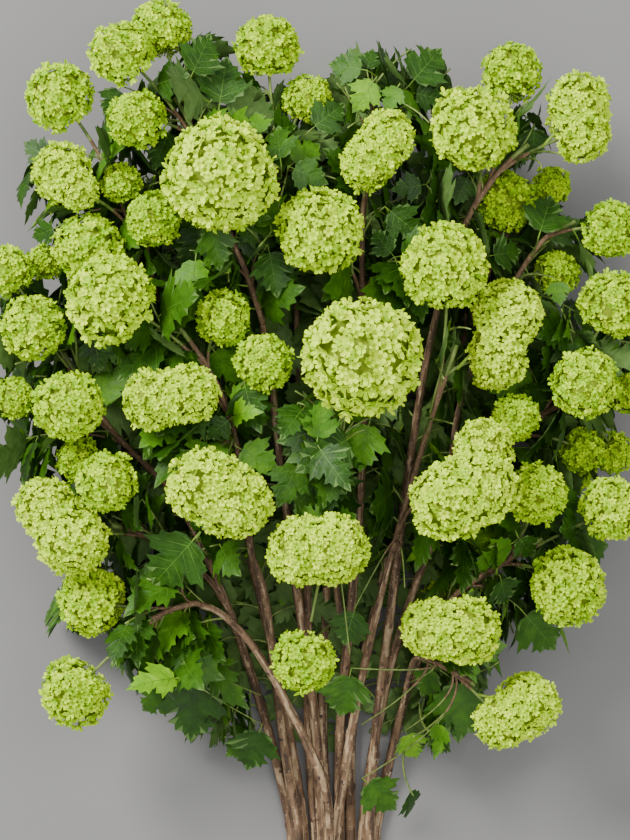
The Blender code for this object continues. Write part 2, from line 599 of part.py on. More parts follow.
class Shown:
    """What shows from above, as the height in each small cell that no leaf may lie over."""

    def __init__(self):
        places = [VIEW_FROM[k] + (np.arange(VIEW_CELLS[k]) + 0.5) * VIEW_CELL for k in (0, 1)]
        self.x, self.y = np.meshgrid(*places, indexing="ij")
        edge = [cm(*place, 0) for place in CROWN_EDGE]
        inside = np.zeros(self.x.shape, bool)
        for a, b in zip(edge, edge[1:] + edge[:1]):
            level = (a.y > self.y) != (b.y > self.y)
            inside ^= level & (self.x < a.x + (b.x - a.x) * (self.y - a.y) / (b.y - a.y or 1))
        self.heights = np.where(inside, np.inf, -np.inf)
        left, right, over = (
            np.interp(self.y, BARE_ALONG, ends) for ends in (BARE_LEFT, BARE_RIGHT, BARE_HEIGHT)
        )
        low, high = BARE_ALONG
        bare = (self.y > low) & (self.y < high) & (self.x > left) & (self.x < right)
        self.heights = np.where(bare, np.minimum(self.heights, over), self.heights)

    def keep(self, beads):
        """From now on no leaf may lie over these beads."""
        for x, y, z, radius in beads:
            i, j = (int((v - low) / VIEW_CELL) for v, low in zip((x, y), VIEW_FROM))
            reach = int(radius / VIEW_CELL) + 1
            part = np.s_[max(0, i - reach):i + reach + 1, max(0, j - reach):j + reach + 1]
            near = np.hypot(self.x[part] - x, self.y[part] - y) < radius
            self.heights[part] = np.where(near, np.minimum(self.heights[part], z), self.heights[part])

    def share_over(self, points):
        """The share of these points that lie over what shows."""
        i, j = (
            np.clip(((points[:, k] - VIEW_FROM[k]) / VIEW_CELL).astype(int), 0, VIEW_CELLS[k] - 1)
            for k in (0, 1)
        )
        return float((points[:, 2] > self.heights[i, j]).mean())


def crown_outward(point):
    """Away from the line through the middle of the crown."""
    middle = Vector((0, 0, 0.035 + 0.10 * min(1.0, max(0.0, (point.y + 0.2) / 0.2))))
    out = Vector((point.x * 0.6, 0, point.z - middle.z))
    return out.normalized() if out.length > 1e-6 else Vector((0, 0, 1))


def leaf_sites(line, spacing, first):
    """Places for pairs of leaves along a twig, as (distance, quarter turn)."""
    length = arc_lengths(line)[-1]
    count = max(1, int((length - first) / spacing) + 1)
    return [(first + k * spacing, k % 2) for k in range(count) if first + k * spacing < length]


def grow_pair(mass, line, distance, turn, axes, taken, shown, rng):
    """The leaves of one pair that have room, each tried at several angles."""
    grown = []
    root, heading = along_line(line, distance)
    across = heading.orthogonal().normalized()
    spin = rng.uniform(0, 0.6) + turn * math.pi / 2
    for side in (0.0, math.pi):
        length = LEAF_LENGTH * rng.uniform(0.85, 1.12)
        for swing, pitch in LEAF_TRIES:
            angle = spin + side + swing
            out = Matrix.Rotation(angle, 3, heading) @ across
            way = out * math.cos(pitch) + heading * math.sin(pitch) + Vector((0, -LEAF_DROOP, 0))
            matrix = leaf_frame(root, way, crown_outward(root) + out * 0.3)
            beads = leaf_beads(matrix, length)
            if beads[:, 2].min() < LEAF_BEAD_RADIUS:
                continue
            if shown.share_over(beads) > MOST_OVER:
                continue
            if nearest_mass(beads[0, :3], axes) != mass:
                continue
            if taken.room(beads) > LEAF_CLEAR:
                taken.add(mass, beads)
                grown.append((matrix, length))
                break
    return grown


def grow_leaves(mass, axes, twigs, taken, shown, rng):
    """The leaves of one mass: a pair under each head and pairs along its own stem."""
    leaves = []
    for head, twig in twigs:
        end = twig_end(head, twig)
        if end > LEAFY_TWIG:
            leaves += grow_pair(mass, twig, end * PAIR_PLACE, 0, axes, taken, shown, rng)
        if head.name.startswith("shoot"):
            leaves += grow_pair(mass, twig, end - 2 * TWIG_RADIUS, 1, axes, taken, shown, rng)
    line = axes[mass][0]
    for distance, turn in leaf_sites(line, PAIR_SPACING, 0.02):
        leaves += grow_pair(mass, line, distance, turn, axes, taken, shown, rng)
    return leaves


def grow_shown(axes, starts, twigs, taken, shown):
    """The leaves that show at the front, each on a twig of its own, by mass."""
    grown = {mass: [] for mass in axes}
    for number, (root, tip) in enumerate(SHOWN_LEAVES, 1):
        way = cm(*tip) - cm(*root)
        for lift, lean in ((lift, lean) for lift in SHOWN_LIFTS for lean in SHOWN_LEANS):
            place = cm(*root) + Vector((0, 0, lift))
            matrix = leaf_frame(place, way, Vector((lean, 0, 1)))
            beads = leaf_beads(matrix, way.length)
            if taken.room(beads) <= LEAF_CLEAR:
                continue
            mass = nearest_mass(place, axes)
            stalk = Head([], place, mass, False, f"leaf_twig_{number:02d}")
            twig = grow_twig(stalk, axes, starts[mass], taken)[0]
            if twig:
                taken.add(mass, beads)
                shown.keep(beads)
                twigs[mass].append((stalk, twig))
                grown[mass].append((matrix, way.length))
                break
    return grown


def grow():
    """The whole bunch: limbs, the masses' stems, heads, twigs and leaves."""
    rng = random.Random(SEED)
    taken = Taken()
    limbs, axes = grow_limbs()
    for name, limb in limbs.items():
        taken.add(name, beads_of(*limb))
    for name, axis in axes.items():
        taken.add(name, beads_of(*axis))
    heads = grow_heads(axes, taken, rng)
    twigs = {name: [] for name in axes}
    starts = {name: [] for name in axes}
    for head in heads + grow_shoots(axes):
        twig = grow_twig(head, axes, starts[head.mass], taken)[0]
        if twig:
            twigs[head.mass].append((head, twig))
    shown = Shown()
    for head in heads[: len(HEADS)]:
        shown.keep(lobe_beads(head.lobes))
    for name in SHOWN_LIMBS:
        limb = limbs.get("stem_" + name) or limbs["bough_" + name]
        for line, radii in (limb, axes[name]):
            shown.keep(beads_of(line, [radius + SHOWN_EDGE for radius in radii]))
    first = grow_shown(axes, starts, twigs, taken, shown)
    leaves = {
        mass: first[mass] + grow_leaves(mass, axes, twigs[mass], taken, shown, rng) for mass in axes
    }
    return limbs, axes, heads, twigs, leaves, shown


def material(name, colour, roughness):
    made = bpy.data.materials.new(name)
    made.use_nodes = True
    shader = made.node_tree.nodes["Principled BSDF"]
    shader.inputs["Base Color"].default_value = (*colour, 1)
    shader.inputs["Roughness"].default_value = roughness
    shader.inputs["Metallic"].default_value = 0
    return made


def new_object(name, mesh, collection):
    made = bpy.data.objects.new(name, mesh)
    collection.objects.link(made)
    return made


def ring_profile(sides):
    """A closed outline with this many sides and a radius of 1, for a tube's bevel."""
    curve = bpy.data.curves.new(f"profile_{sides}", "CURVE")
    spline = curve.splines.new("POLY")
    spline.points.add(sides - 1)
    for k, point in enumerate(spline.points):
        turn = 2 * math.pi * k / sides
        point.co = (math.cos(turn), math.sin(turn), 0, 1)
    spline.use_cyclic_u = True
    return curve


def tube(name, line, radii, sides, collection):
    """A closed tapering tube along the line, as a mesh object."""
    profile = new_object("profile", ring_profile(sides), collection)
    curve = bpy.data.curves.new(name, "CURVE")
    curve.dimensions = "3D"
    curve.bevel_mode = "OBJECT"
    curve.bevel_object = profile
    curve.use_fill_caps = True
    spline = curve.splines.new("POLY")
    spline.points.add(len(line) - 1)
    for point, place, radius in zip(spline.points, line, radii):
        point.co = (*place, 1)
        point.radius = radius
    wire = new_object(name + "_wire", curve, collection)
    bpy.context.view_layer.update()
    graph = bpy.context.evaluated_depsgraph_get()
    mesh = bpy.data.meshes.new_from_object(wire.evaluated_get(graph))
    bpy.data.objects.remove(wire)
    bpy.data.objects.remove(profile)
    shape = bmesh.new()
    shape.from_mesh(mesh)
    bmesh.ops.remove_doubles(shape, verts=shape.verts, dist=1e-6)
    bmesh.ops.recalc_face_normals(shape, faces=shape.faces)
    shape.to_mesh(mesh)
    shape.free()
    return new_object(name, mesh, collection)


def ball(name, lobe, large, rng, collection):
    """One lobe of a flower head: a ball with slight lumps."""
    mesh = bpy.data.meshes.new(name)
    shape = bmesh.new()
    radius = lobe.radius * BALL_SWELL
    if large:
        bmesh.ops.create_icosphere(shape, subdivisions=2, radius=radius)
    else:
        bmesh.ops.create_uvsphere(shape, u_segments=7, v_segments=5, radius=radius)
    for vert in shape.verts:
        vert.co *= rng.uniform(0.965, 1.0)
    bmesh.ops.translate(shape, verts=shape.verts, vec=lobe.middle)
    shape.to_mesh(mesh)
    shape.free()
    return new_object(name, mesh, collection)


def leaf(name, matrix, length, collection):
    """One lobed leaf: a thin blade, thickest in the middle, with its sides raised."""
    corners = [Vector((x, y, rise)) * length for (x, y), rise in zip(LEAF_OUTLINE, LEAF_RISE)]
    half = Vector((0, 0, LEAF_THICKNESS / 2))
    middle = Vector((*LEAF_MIDDLE, 0)) * length
    points = [*corners, middle + half, middle - half]
    count = len(corners)
    faces = []
    for k in range(count):
        after = (k + 1) % count
        faces.append((k, after, count))
        faces.append((after, k, count + 1))
    mesh = bpy.data.meshes.new(name)
    mesh.from_pydata([matrix @ p for p in points], [], faces)
    return new_object(name, mesh, collection)


def joined(base, parts, solver="MANIFOLD"):
    """Joins the parts of a collection to the base object by one Boolean union."""
    union = base.modifiers.new("joined", "BOOLEAN")
    union.operation = "UNION"
    union.operand_type = "COLLECTION"
    union.collection = parts
    union.solver = solver
    bpy.context.view_layer.update()
    graph = bpy.context.evaluated_depsgraph_get()
    mesh = bpy.data.meshes.new_from_object(base.evaluated_get(graph))
    base.modifiers.clear()
    base.data = mesh
    for part in list(parts.objects):
        bpy.data.objects.remove(part)
    bpy.data.collections.remove(parts)
    return base


def new_collection(name):
    made = bpy.data.collections.new(name)
    bpy.context.scene.collection.children.link(made)
    return made


def dress(obj, finish):
    obj.data.materials.clear()
    obj.data.materials.append(finish)
    for face in obj.data.polygons:
        face.material_index = 0


def build_head(head, twig, rng, bunch, finish):
    """A large head: its lobes and the stalk under them, as one solid."""
    length = arc_lengths(twig)[-1]
    line = trimmed(twig, twig_end(head, twig) + GAP / 2, length)
    stalk = tube(head.name, line, [TWIG_RADIUS] * len(line), 3, bunch)
    parts = new_collection(head.name + "_lobes")
    for number, lobe in enumerate(head.lobes):
        ball(f"{head.name}_{number}", lobe, True, rng, parts)
    dress(joined(stalk, parts), finish)


def build_mass(name, axis, twigs, leaves, rng, bunch, finish):
    """A mass of foliage: its stem, twigs, leaves and small heads, as one solid."""
    base = tube("foliage_" + name, *axis, 4, bunch)
    parts = new_collection(name + "_parts")
    for number, (head, twig) in enumerate(twigs):
        end = twig_end(head, twig) - GAP / 2 if head.large else arc_lengths(twig)[-1]
        line = trimmed(twig, 0.0, end)
        tube(f"{name}_twig_{number}", line, [TWIG_RADIUS] * len(line), 3, parts)
        if not head.large:
            for place, lobe in enumerate(head.lobes):
                ball(f"{name}_ball_{number}_{place}", lobe, False, rng, parts)
    for number, (matrix, length) in enumerate(leaves):
        leaf(f"{name}_leaf_{number}", matrix, length, parts)
    dress(joined(base, parts), finish)


def seat_bough(bough, parent, radius_line, cutters):
    """Cuts a bough's foot to its stem's side, a gap clear of it."""
    line, radii = radius_line
    cutter = tube(bough.name + "_cutter", line, [r + GAP for r in radii], 8, cutters)
    cutter.hide_render = True
    cutter.display_type = "WIRE"
    seat = bough.modifiers.new("seat", "BOOLEAN")
    seat.operation = "DIFFERENCE"
    seat.object = cutter


def clear_scene():
    for obj in list(bpy.data.objects):
        bpy.data.objects.remove(obj)


def main():
    clear_scene()
    bunch = new_collection("snowball_viburnum_bunch")
    cutters = new_collection("cutters")
    bark = material("bark", (0.30, 0.19, 0.13), 0.8)
    leafy = material("foliage", (0.10, 0.28, 0.04), 0.5)
    bloom = material("flower_heads", (0.52, 0.72, 0.20), 0.6)
    limbs, axes, heads, twigs, leaves, _ = grow()
    rng = random.Random(SEED)
    for name, (line, radii) in limbs.items():
        sides = 8 if name.startswith("stem_") else 6
        dress(tube(name, line, radii, sides, bunch), bark)
    for bough in BOUGHS:
        parent = "stem_" + bough.parent
        seat_bough(bpy.data.objects["bough_" + bough.name], parent, limbs[parent], cutters)
    for name, axis in axes.items():
        build_mass(name, axis, twigs[name], leaves[name], rng, bunch, leafy)
        for head, twig in twigs[name]:
            if head.large:
                build_head(head, twig, rng, bunch, bloom)


if __name__ == "__main__":
    main()
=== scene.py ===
"""The looks of a bunch of cut snowball viburnum branches, lying on its back.

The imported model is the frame. Bark, twigs, leaves and florets grow on it by the same
rule as its source: the tables and the growth functions come first, then the finer
shapes that each solid stands for, and last the floor, the lights and the camera.
"""

import json
import math
import random
from collections import namedtuple

import bmesh
import bpy
import numpy as np
from mathutils import Matrix, Vector

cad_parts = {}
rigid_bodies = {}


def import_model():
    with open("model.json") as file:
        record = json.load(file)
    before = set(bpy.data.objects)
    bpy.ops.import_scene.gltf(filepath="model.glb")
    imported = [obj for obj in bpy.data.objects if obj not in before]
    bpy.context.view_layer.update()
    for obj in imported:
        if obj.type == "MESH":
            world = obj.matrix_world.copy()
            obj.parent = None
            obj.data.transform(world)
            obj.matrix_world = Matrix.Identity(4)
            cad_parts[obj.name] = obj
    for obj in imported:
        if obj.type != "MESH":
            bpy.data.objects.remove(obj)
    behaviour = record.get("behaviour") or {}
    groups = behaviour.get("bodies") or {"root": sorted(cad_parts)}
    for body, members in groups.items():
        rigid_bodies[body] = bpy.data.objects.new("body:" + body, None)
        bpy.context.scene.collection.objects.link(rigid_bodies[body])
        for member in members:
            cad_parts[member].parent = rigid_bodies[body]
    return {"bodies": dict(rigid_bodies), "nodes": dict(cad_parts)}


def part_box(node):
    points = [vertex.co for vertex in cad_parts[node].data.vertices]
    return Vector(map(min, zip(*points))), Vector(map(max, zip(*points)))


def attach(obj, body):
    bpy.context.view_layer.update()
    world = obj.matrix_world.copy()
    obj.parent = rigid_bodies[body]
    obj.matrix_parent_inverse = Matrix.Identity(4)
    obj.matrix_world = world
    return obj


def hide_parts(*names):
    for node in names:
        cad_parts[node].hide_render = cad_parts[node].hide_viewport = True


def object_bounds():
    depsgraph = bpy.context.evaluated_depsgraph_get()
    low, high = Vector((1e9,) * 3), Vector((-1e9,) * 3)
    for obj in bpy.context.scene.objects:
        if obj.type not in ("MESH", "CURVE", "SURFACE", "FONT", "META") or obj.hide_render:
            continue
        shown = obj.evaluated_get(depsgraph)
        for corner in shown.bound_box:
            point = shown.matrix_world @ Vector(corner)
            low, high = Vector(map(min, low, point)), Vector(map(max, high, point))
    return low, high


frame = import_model()
for obj in list(bpy.data.objects):
    if obj not in frame["nodes"].values() and obj not in frame["bodies"].values():
        bpy.data.objects.remove(obj)
CAD_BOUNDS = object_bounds()

CM = 0.01
GAP = 0.0003  # left between two solids that meet
SEED = 7

# The bunch, in metres
CUT_ALONG = -0.376  # the cut ends, all trimmed to one plane
WAIST_ALONG = -0.286  # where the stems lie tightest together
WAIST_CENTRE = 0.015  # the middle of the waist, across
FOOT_SPREAD = 1.12  # how much wider the stems lie at the cut than at the waist

# Wood, in metres
STEM_RADIUS = 0.0046  # at the waist and below
STEM_TIP_RADIUS = 0.0026
BOUGH_RADIUS = 0.0030
BOUGH_TIP_RADIUS = 0.0021
FORK_SHARE = 0.85  # the most of its stem's radius that a bough has where it forks
TIP_SETBACK = 0.004  # a limb ends this far short of its tip's place, on a straight piece
AXIS_TIP_RADIUS = 0.0019
TWIG_RADIUS = 0.0015
STALK_LENGTH = 0.007  # the stalk that a large head keeps
SHORTEST_TWIG = 0.008
PILE_GAP = 0.00015  # between the stems where they lie on each other
BEAD_STEP = 0.003  # spacing of the beads that stand for a limb
ROOM_NEAR = 0.01  # room beyond this isn't measured

# Leaves and flower heads, in metres
LEAF_LENGTH = 0.056
LEAF_DROOP = 0.45  # how strongly its tip turns to the cut ends
LEAF_ROOT = 0.0003  # how far a leaf's root runs past the middle of its twig
LEAFY_TWIG = 0.012  # the shortest twig that carries leaves
PAIR_SPACING = 0.075  # between the pairs of leaves on a mass's own stem
PAIR_PLACE = 0.75  # where a twig carries a pair, as a share of its length
LARGE_HEAD = 0.0515  # heads this wide across all their lobes are solids of their own
BALL_SWELL = 1.04  # a faceted ball's corners stand this much outside the round one
HEAD_CLEAR = 0.0015
TWIG_LEANS = (0.8, 0.5, 1.1, 0.2, 1.5, 0.0, -0.3, 2.0, -0.7, 2.6)  # how far back it starts
LEAF_CLEAR = 0.0012

PILE_PITCH = 2 * STEM_RADIUS + PILE_GAP


def cm(across, along, height):
    return Vector((across, along, height)) * CM


# A cut stem: its place in the pile at the waist, as a column of the bottom row and a
# row, then the points in cm (across, along, height) that it grows through, the tip
# where its mass takes over, and the points that the mass's own stem grows on through.
Stem = namedtuple("Stem", "name column row through tip beyond")
STEMS = (
    Stem("low_left", 3, 3, [(0.7, -22.7, 4.9), (-2.0, -16.4, 7.7), (-3.9, -12.7, 9.6), (-6.2, -9.6, 11.3)],
         (-9.0, -7.9, 12.8), [(-12.3, -9.0, 13.6)]),
    Stem("left", 0.5, 2, [(-2.5, -19.3, 3.4), (-3.9, -7.7, 8.2), (-4.9, -4.2, 9.8)],
         (-5.8, 3.7, 13.6), [(-7.6, 9.2, 16.2), (-10.2, 13.0, 17.4)]),
    Stem("top_left", 2.5, 2, [(0.0, -18.0, 3.2), (-1.6, -6.0, 6.8), (-2.9, 5.0, 10.8)],
         (-4.0, 13.5, 13.6), [(-6.4, 20.0, 14.6), (-8.9, 27.0, 15.2), (-10.4, 30.0, 15.0)]),
    Stem("right", 3.5, 2, [(2.9, -18.6, 3.6), (4.3, -11.0, 7.6), (5.1, -7.3, 9.6)],
         (6.0, -3.6, 11.4), [(8.4, 5.2, 15.4), (10.5, 11.5, 16.4)]),
    Stem("top_right", 6.5, 2, [(4.8, -19.0, 3.2), (6.0, -8.0, 6.8), (7.6, 5.0, 10.2)],
         (10.0, 17.5, 12.6), [(13.2, 23.8, 13.8), (16.0, 26.6, 14.2)]),
    Stem("top_middle", 4, 1, [(2.0, -19.0, 2.2), (2.7, -10.0, 5.2), (3.4, -1.5, 8.6), (3.7, 6.0, 11.2)],
         (3.6, 14.5, 13.4), [(3.6, 21.0, 13.4), (4.6, 30.0, 12.2)]),
    Stem("outer_top_left", 1, 1, [(-1.9, -20.0, 1.5), (-4.3, -8.0, 3.9), (-7.4, 3.0, 7.6)],
         (-10.7, 12.5, 10.8), [(-14.0, 20.8, 12.4), (-16.2, 26.0, 13.0)]),
    Stem("outer_left", 0, 1, [(-3.4, -20.0, 1.5), (-6.4, -10.0, 4.4), (-9.2, -3.0, 7.6)],
         (-11.6, 1.2, 9.8), [(-15.5, 5.2, 11.4), (-19.0, 11.0, 12.2)]),
    Stem("outer_right", 6, 1, [(4.7, -20.0, 1.6), (6.9, -10.0, 4.6), (9.4, -3.0, 7.8)],
         (12.2, 1.6, 10.0), [(16.2, 5.4, 11.4), (20.4, 8.6, 11.8)]),
    Stem("low_right", 7, 1, [(6.0, -21.0, 1.7), (7.6, -14.5, 4.0), (9.4, -10.0, 6.8)],
         (11.0, -7.4, 8.8), [(14.6, -4.8, 11.2), (17.2, -3.0, 12.2)]),
    Stem("top", 2, 1, [(-0.5, -19.0, 1.6), (-0.6, -8.0, 4.0), (-1.0, 2.0, 7.4)],
         (-1.3, 9.0, 9.8), [(-1.6, 17.0, 11.0), (-3.4, 27.0, 11.4)]),
    Stem("back", 3, 1, [(0.6, -18.0, 1.0), (0.9, -8.0, 2.6)],
         (0.8, 2.0, 4.6), [(1.0, 12.0, 6.2), (1.4, 24.0, 7.0)]),
    Stem("back_right", 5, 1, [(3.0, -18.0, 1.0), (5.0, -8.0, 2.4)],
         (7.6, 2.0, 4.6), [(11.5, 12.0, 5.8), (15.0, 21.5, 6.8)]),
)

# A bough: the stem that it forks from, and how far along (in cm) that is.
Bough = namedtuple("Bough", "name parent along through tip beyond")
BOUGHS = (
    Bough("mid_left", "outer_left", -9.0, [(-8.2, -6.6, 6.2)],
          (-10.4, -4.6, 8.6), [(-13.4, -2.6, 11.6), (-15.4, -2.0, 12.8)]),
    Bough("front", "top_middle", -12.0, [(1.7, -7.4, 8.6)],
          (1.3, -3.2, 13.0), [(1.4, 3.0, 17.0), (1.2, 7.0, 18.2)]),
    Bough("outer_top_right", "outer_right", -2.0, [(11.0, 6.4, 8.4)],
          (13.4, 13.2, 9.2), [(17.2, 19.4, 10.8), (19.8, 21.0, 11.4)]),
    Bough("lowest_right", "low_right", -16.5, [(7.6, -13.0, 6.6)],
          (8.4, -12.4, 8.6), [(10.4, -13.2, 10.6), (12.2, -14.2, 11.6)]),
    Bough("back_left", "outer_top_left", -12.0, [(-5.2, -4.0, 3.4)],
          (-7.8, 4.0, 4.4), [(-12.0, 12.5, 5.6), (-15.6, 20.5, 6.6)]),
    Bough("low_back", "back", -15.0, [(-0.8, -10.0, 1.8)],
          (-2.6, -6.2, 2.2), [(-6.4, -2.4, 2.0), (-9.8, 0.4, 3.0)]),
)

# The flower heads that face up, in cm: one (across, along, height, width) for each
# lobe. A head that has grown lopsided, or a pair that has grown together, has more.
HEADS = (
    [(-11.6, 35.2, 14.0, 4.6)],
    [(-14.2, 32.9, 18.0, 4.7)],
    [(-19.1, 30.1, 14.0, 5.1)],
    [(-13.1, 28.1, 17.5, 4.4)],
    [(-3.6, 34.0, 13.0, 5.1)],
    [(-0.6, 30.2, 12.0, 3.8)],
    [(-18.9, 24.4, 15.0, 4.5), (-17.5, 22.9, 16.2, 2.9)],
    [(-14.5, 23.7, 14.4, 3.0)],
    [(-12.0, 20.7, 17.0, 4.1)],
    [(-6.8, 23.5, 21.5, 7.9)],
    [(-16.9, 18.7, 14.9, 5.1)],
    [(0.4, 19.7, 19.0, 6.4)],
    [(5.3, 26.7, 17.5, 4.1), (3.8, 24.9, 17.5, 4.1)],
    [(-14.9, 14.8, 20.5, 6.5)],
    [(-6.7, 13.4, 19.0, 4.0)],
    [(-3.7, 10.2, 20.0, 4.2)],
    [(-20.9, 12.8, 16.0, 4.8)],
    [(-23.1, 17.1, 13.0, 3.8)],
    [(-20.6, 18.0, 10.0, 2.8)],
    [(-22.6, 7.6, 13.0, 3.2)],
    [(-18.1, 7.0, 18.0, 5.2)],
    [(-11.7, 7.4, 22.0, 4.5), (-9.0, 7.9, 22.0, 4.3)],
    [(-17.7, 2.9, 13.5, 3.4)],
    [(-15.2, 1.4, 18.5, 4.4)],
    [(-20.0, -0.5, 16.2, 4.5), (-18.0, -3.0, 16.4, 5.3)],
    [(-7.9, 1.2, 22.5, 5.4), (-5.7, -0.1, 22.5, 5.2)],
    [(-1.1, -3.5, 22.0, 5.0), (1.4, -3.3, 22.0, 5.1)],
    [(-16.8, -7.7, 12.9, 5.2)],
    [(-18.0, -14.5, 13.5, 5.2)],
    [(-0.8, -11.8, 18.0, 4.7)],
    [(3.4, 10.4, 22.5, 8.5)],
    [(9.5, 17.1, 20.0, 6.4)],
    [(11.6, 27.3, 18.0, 6.2)],
    [(14.9, 32.2, 12.0, 4.7)],
    [(19.8, 29.4, 15.0, 4.9), (19.8, 27.4, 15.0, 4.6)],
    [(14.6, 22.7, 9.8, 4.6)],
    [(18.2, 24.0, 8.0, 3.1)],
    [(22.2, 20.2, 13.5, 4.4)],
    [(18.6, 17.2, 8.8, 3.6)],
    [(22.3, 14.6, 14.0, 5.1)],
    [(14.2, 13.7, 17.3, 5.3), (13.4, 10.4, 16.8, 4.6)],
    [(20.0, 8.7, 17.0, 5.0)],
    [(14.9, 6.1, 15.4, 3.6)],
    [(12.2, 3.9, 21.0, 4.3), (9.7, 0.2, 22.0, 5.5), (12.1, 1.0, 22.0, 4.9)],
    [(16.4, 0.5, 17.0, 4.6)],
    [(20.4, 3.6, 10.0, 3.4)],
    [(23.1, 3.4, 7.2, 3.2)],
    [(22.3, -0.8, 14.0, 4.9)],
    [(18.7, -6.5, 15.5, 5.8)],
    [(8.6, -9.5, 17.0, 4.6), (11.1, -9.7, 17.0, 4.9)],
    [(13.9, -16.7, 13.5, 4.3), (16.0, -15.5, 13.5, 4.8)],
    [(24.0, 8.0, 9.0, 3.2)],
)

# Shoots that end in leaves and carry no flowers, in cm: where each one's tip is
SHOOTS = (
    (7.2, 29.0, 14.0), (1.6, 31.0, 15.5), (-7.6, 29.6, 17.0), (-21.6, 25.6, 11.5),
    (-18.2, -7.6, 8.6), (-11.4, -12.6, 10.4), (-4.2, -15.4, 7.2), (2.6, -11.6, 15.0),
    (3.6, -17.8, 6.4), (11.4, -13.4, 8.4), (17.4, -7.2, 8.2), (6.6, -6.4, 17.6),
    (7.4, -14.4, 7.2), (17.2, 27.2, 9.6), (8.8, 10.4, 18.6), (8.4, 6.6, 19.0),
    (3.6, 5.2, 19.4), (-3.2, 19.8, 17.6), (-9.2, 18.4, 18.0), (-10.6, -2.4, 17.0),
    (-17.6, 11.4, 17.0), (-8.4, 4.6, 18.0), (20.6, 12.0, 12.0), (-21.7, 4.6, 11.0),
)

# The heads that the bunch lies on, set out by rule between these bounds
UNDER_COUNT = 13
UNDER_TRIES = 900
UNDER_ALONG = (-0.10, 0.33)
UNDER_WIDTH = (0.036, 0.052)
UNDER_HALF_WIDTH = 0.215
UNDER_LIFT = 0.022  # the most that one of them lies above the surface

# A leaf's outline in units of its length, from its root round by the right: two side
# lobes, a notch beside each, and the middle lobe's tip; then how far each stands up
LEAF_OUTLINE = ((0.0, 0.0), (0.46, 0.50), (0.24, 0.60), (0.0, 1.0), (-0.24, 0.60), (-0.46, 0.50))
LEAF_RISE = (0.0, 0.07, 0.05, -0.10, 0.05, 0.07)
LEAF_MIDDLE = (0.0, 0.36)
LEAF_BEAD_RADIUS = 0.0026
LEAF_BEAD_STEP = 0.085  # between a blade's beads, in units of its length
LEAF_BEADS_FROM = 0.16  # they leave out the root, which is sunk in its twig
LEAF_SWINGS = (0.0, 0.5, -0.5, 1.0, -1.0)
LEAF_PITCHES = (0.6, 0.2, 1.0, -0.2, 1.4)
LEAF_TRIES = tuple((swing, pitch) for pitch in LEAF_PITCHES for swing in LEAF_SWINGS)

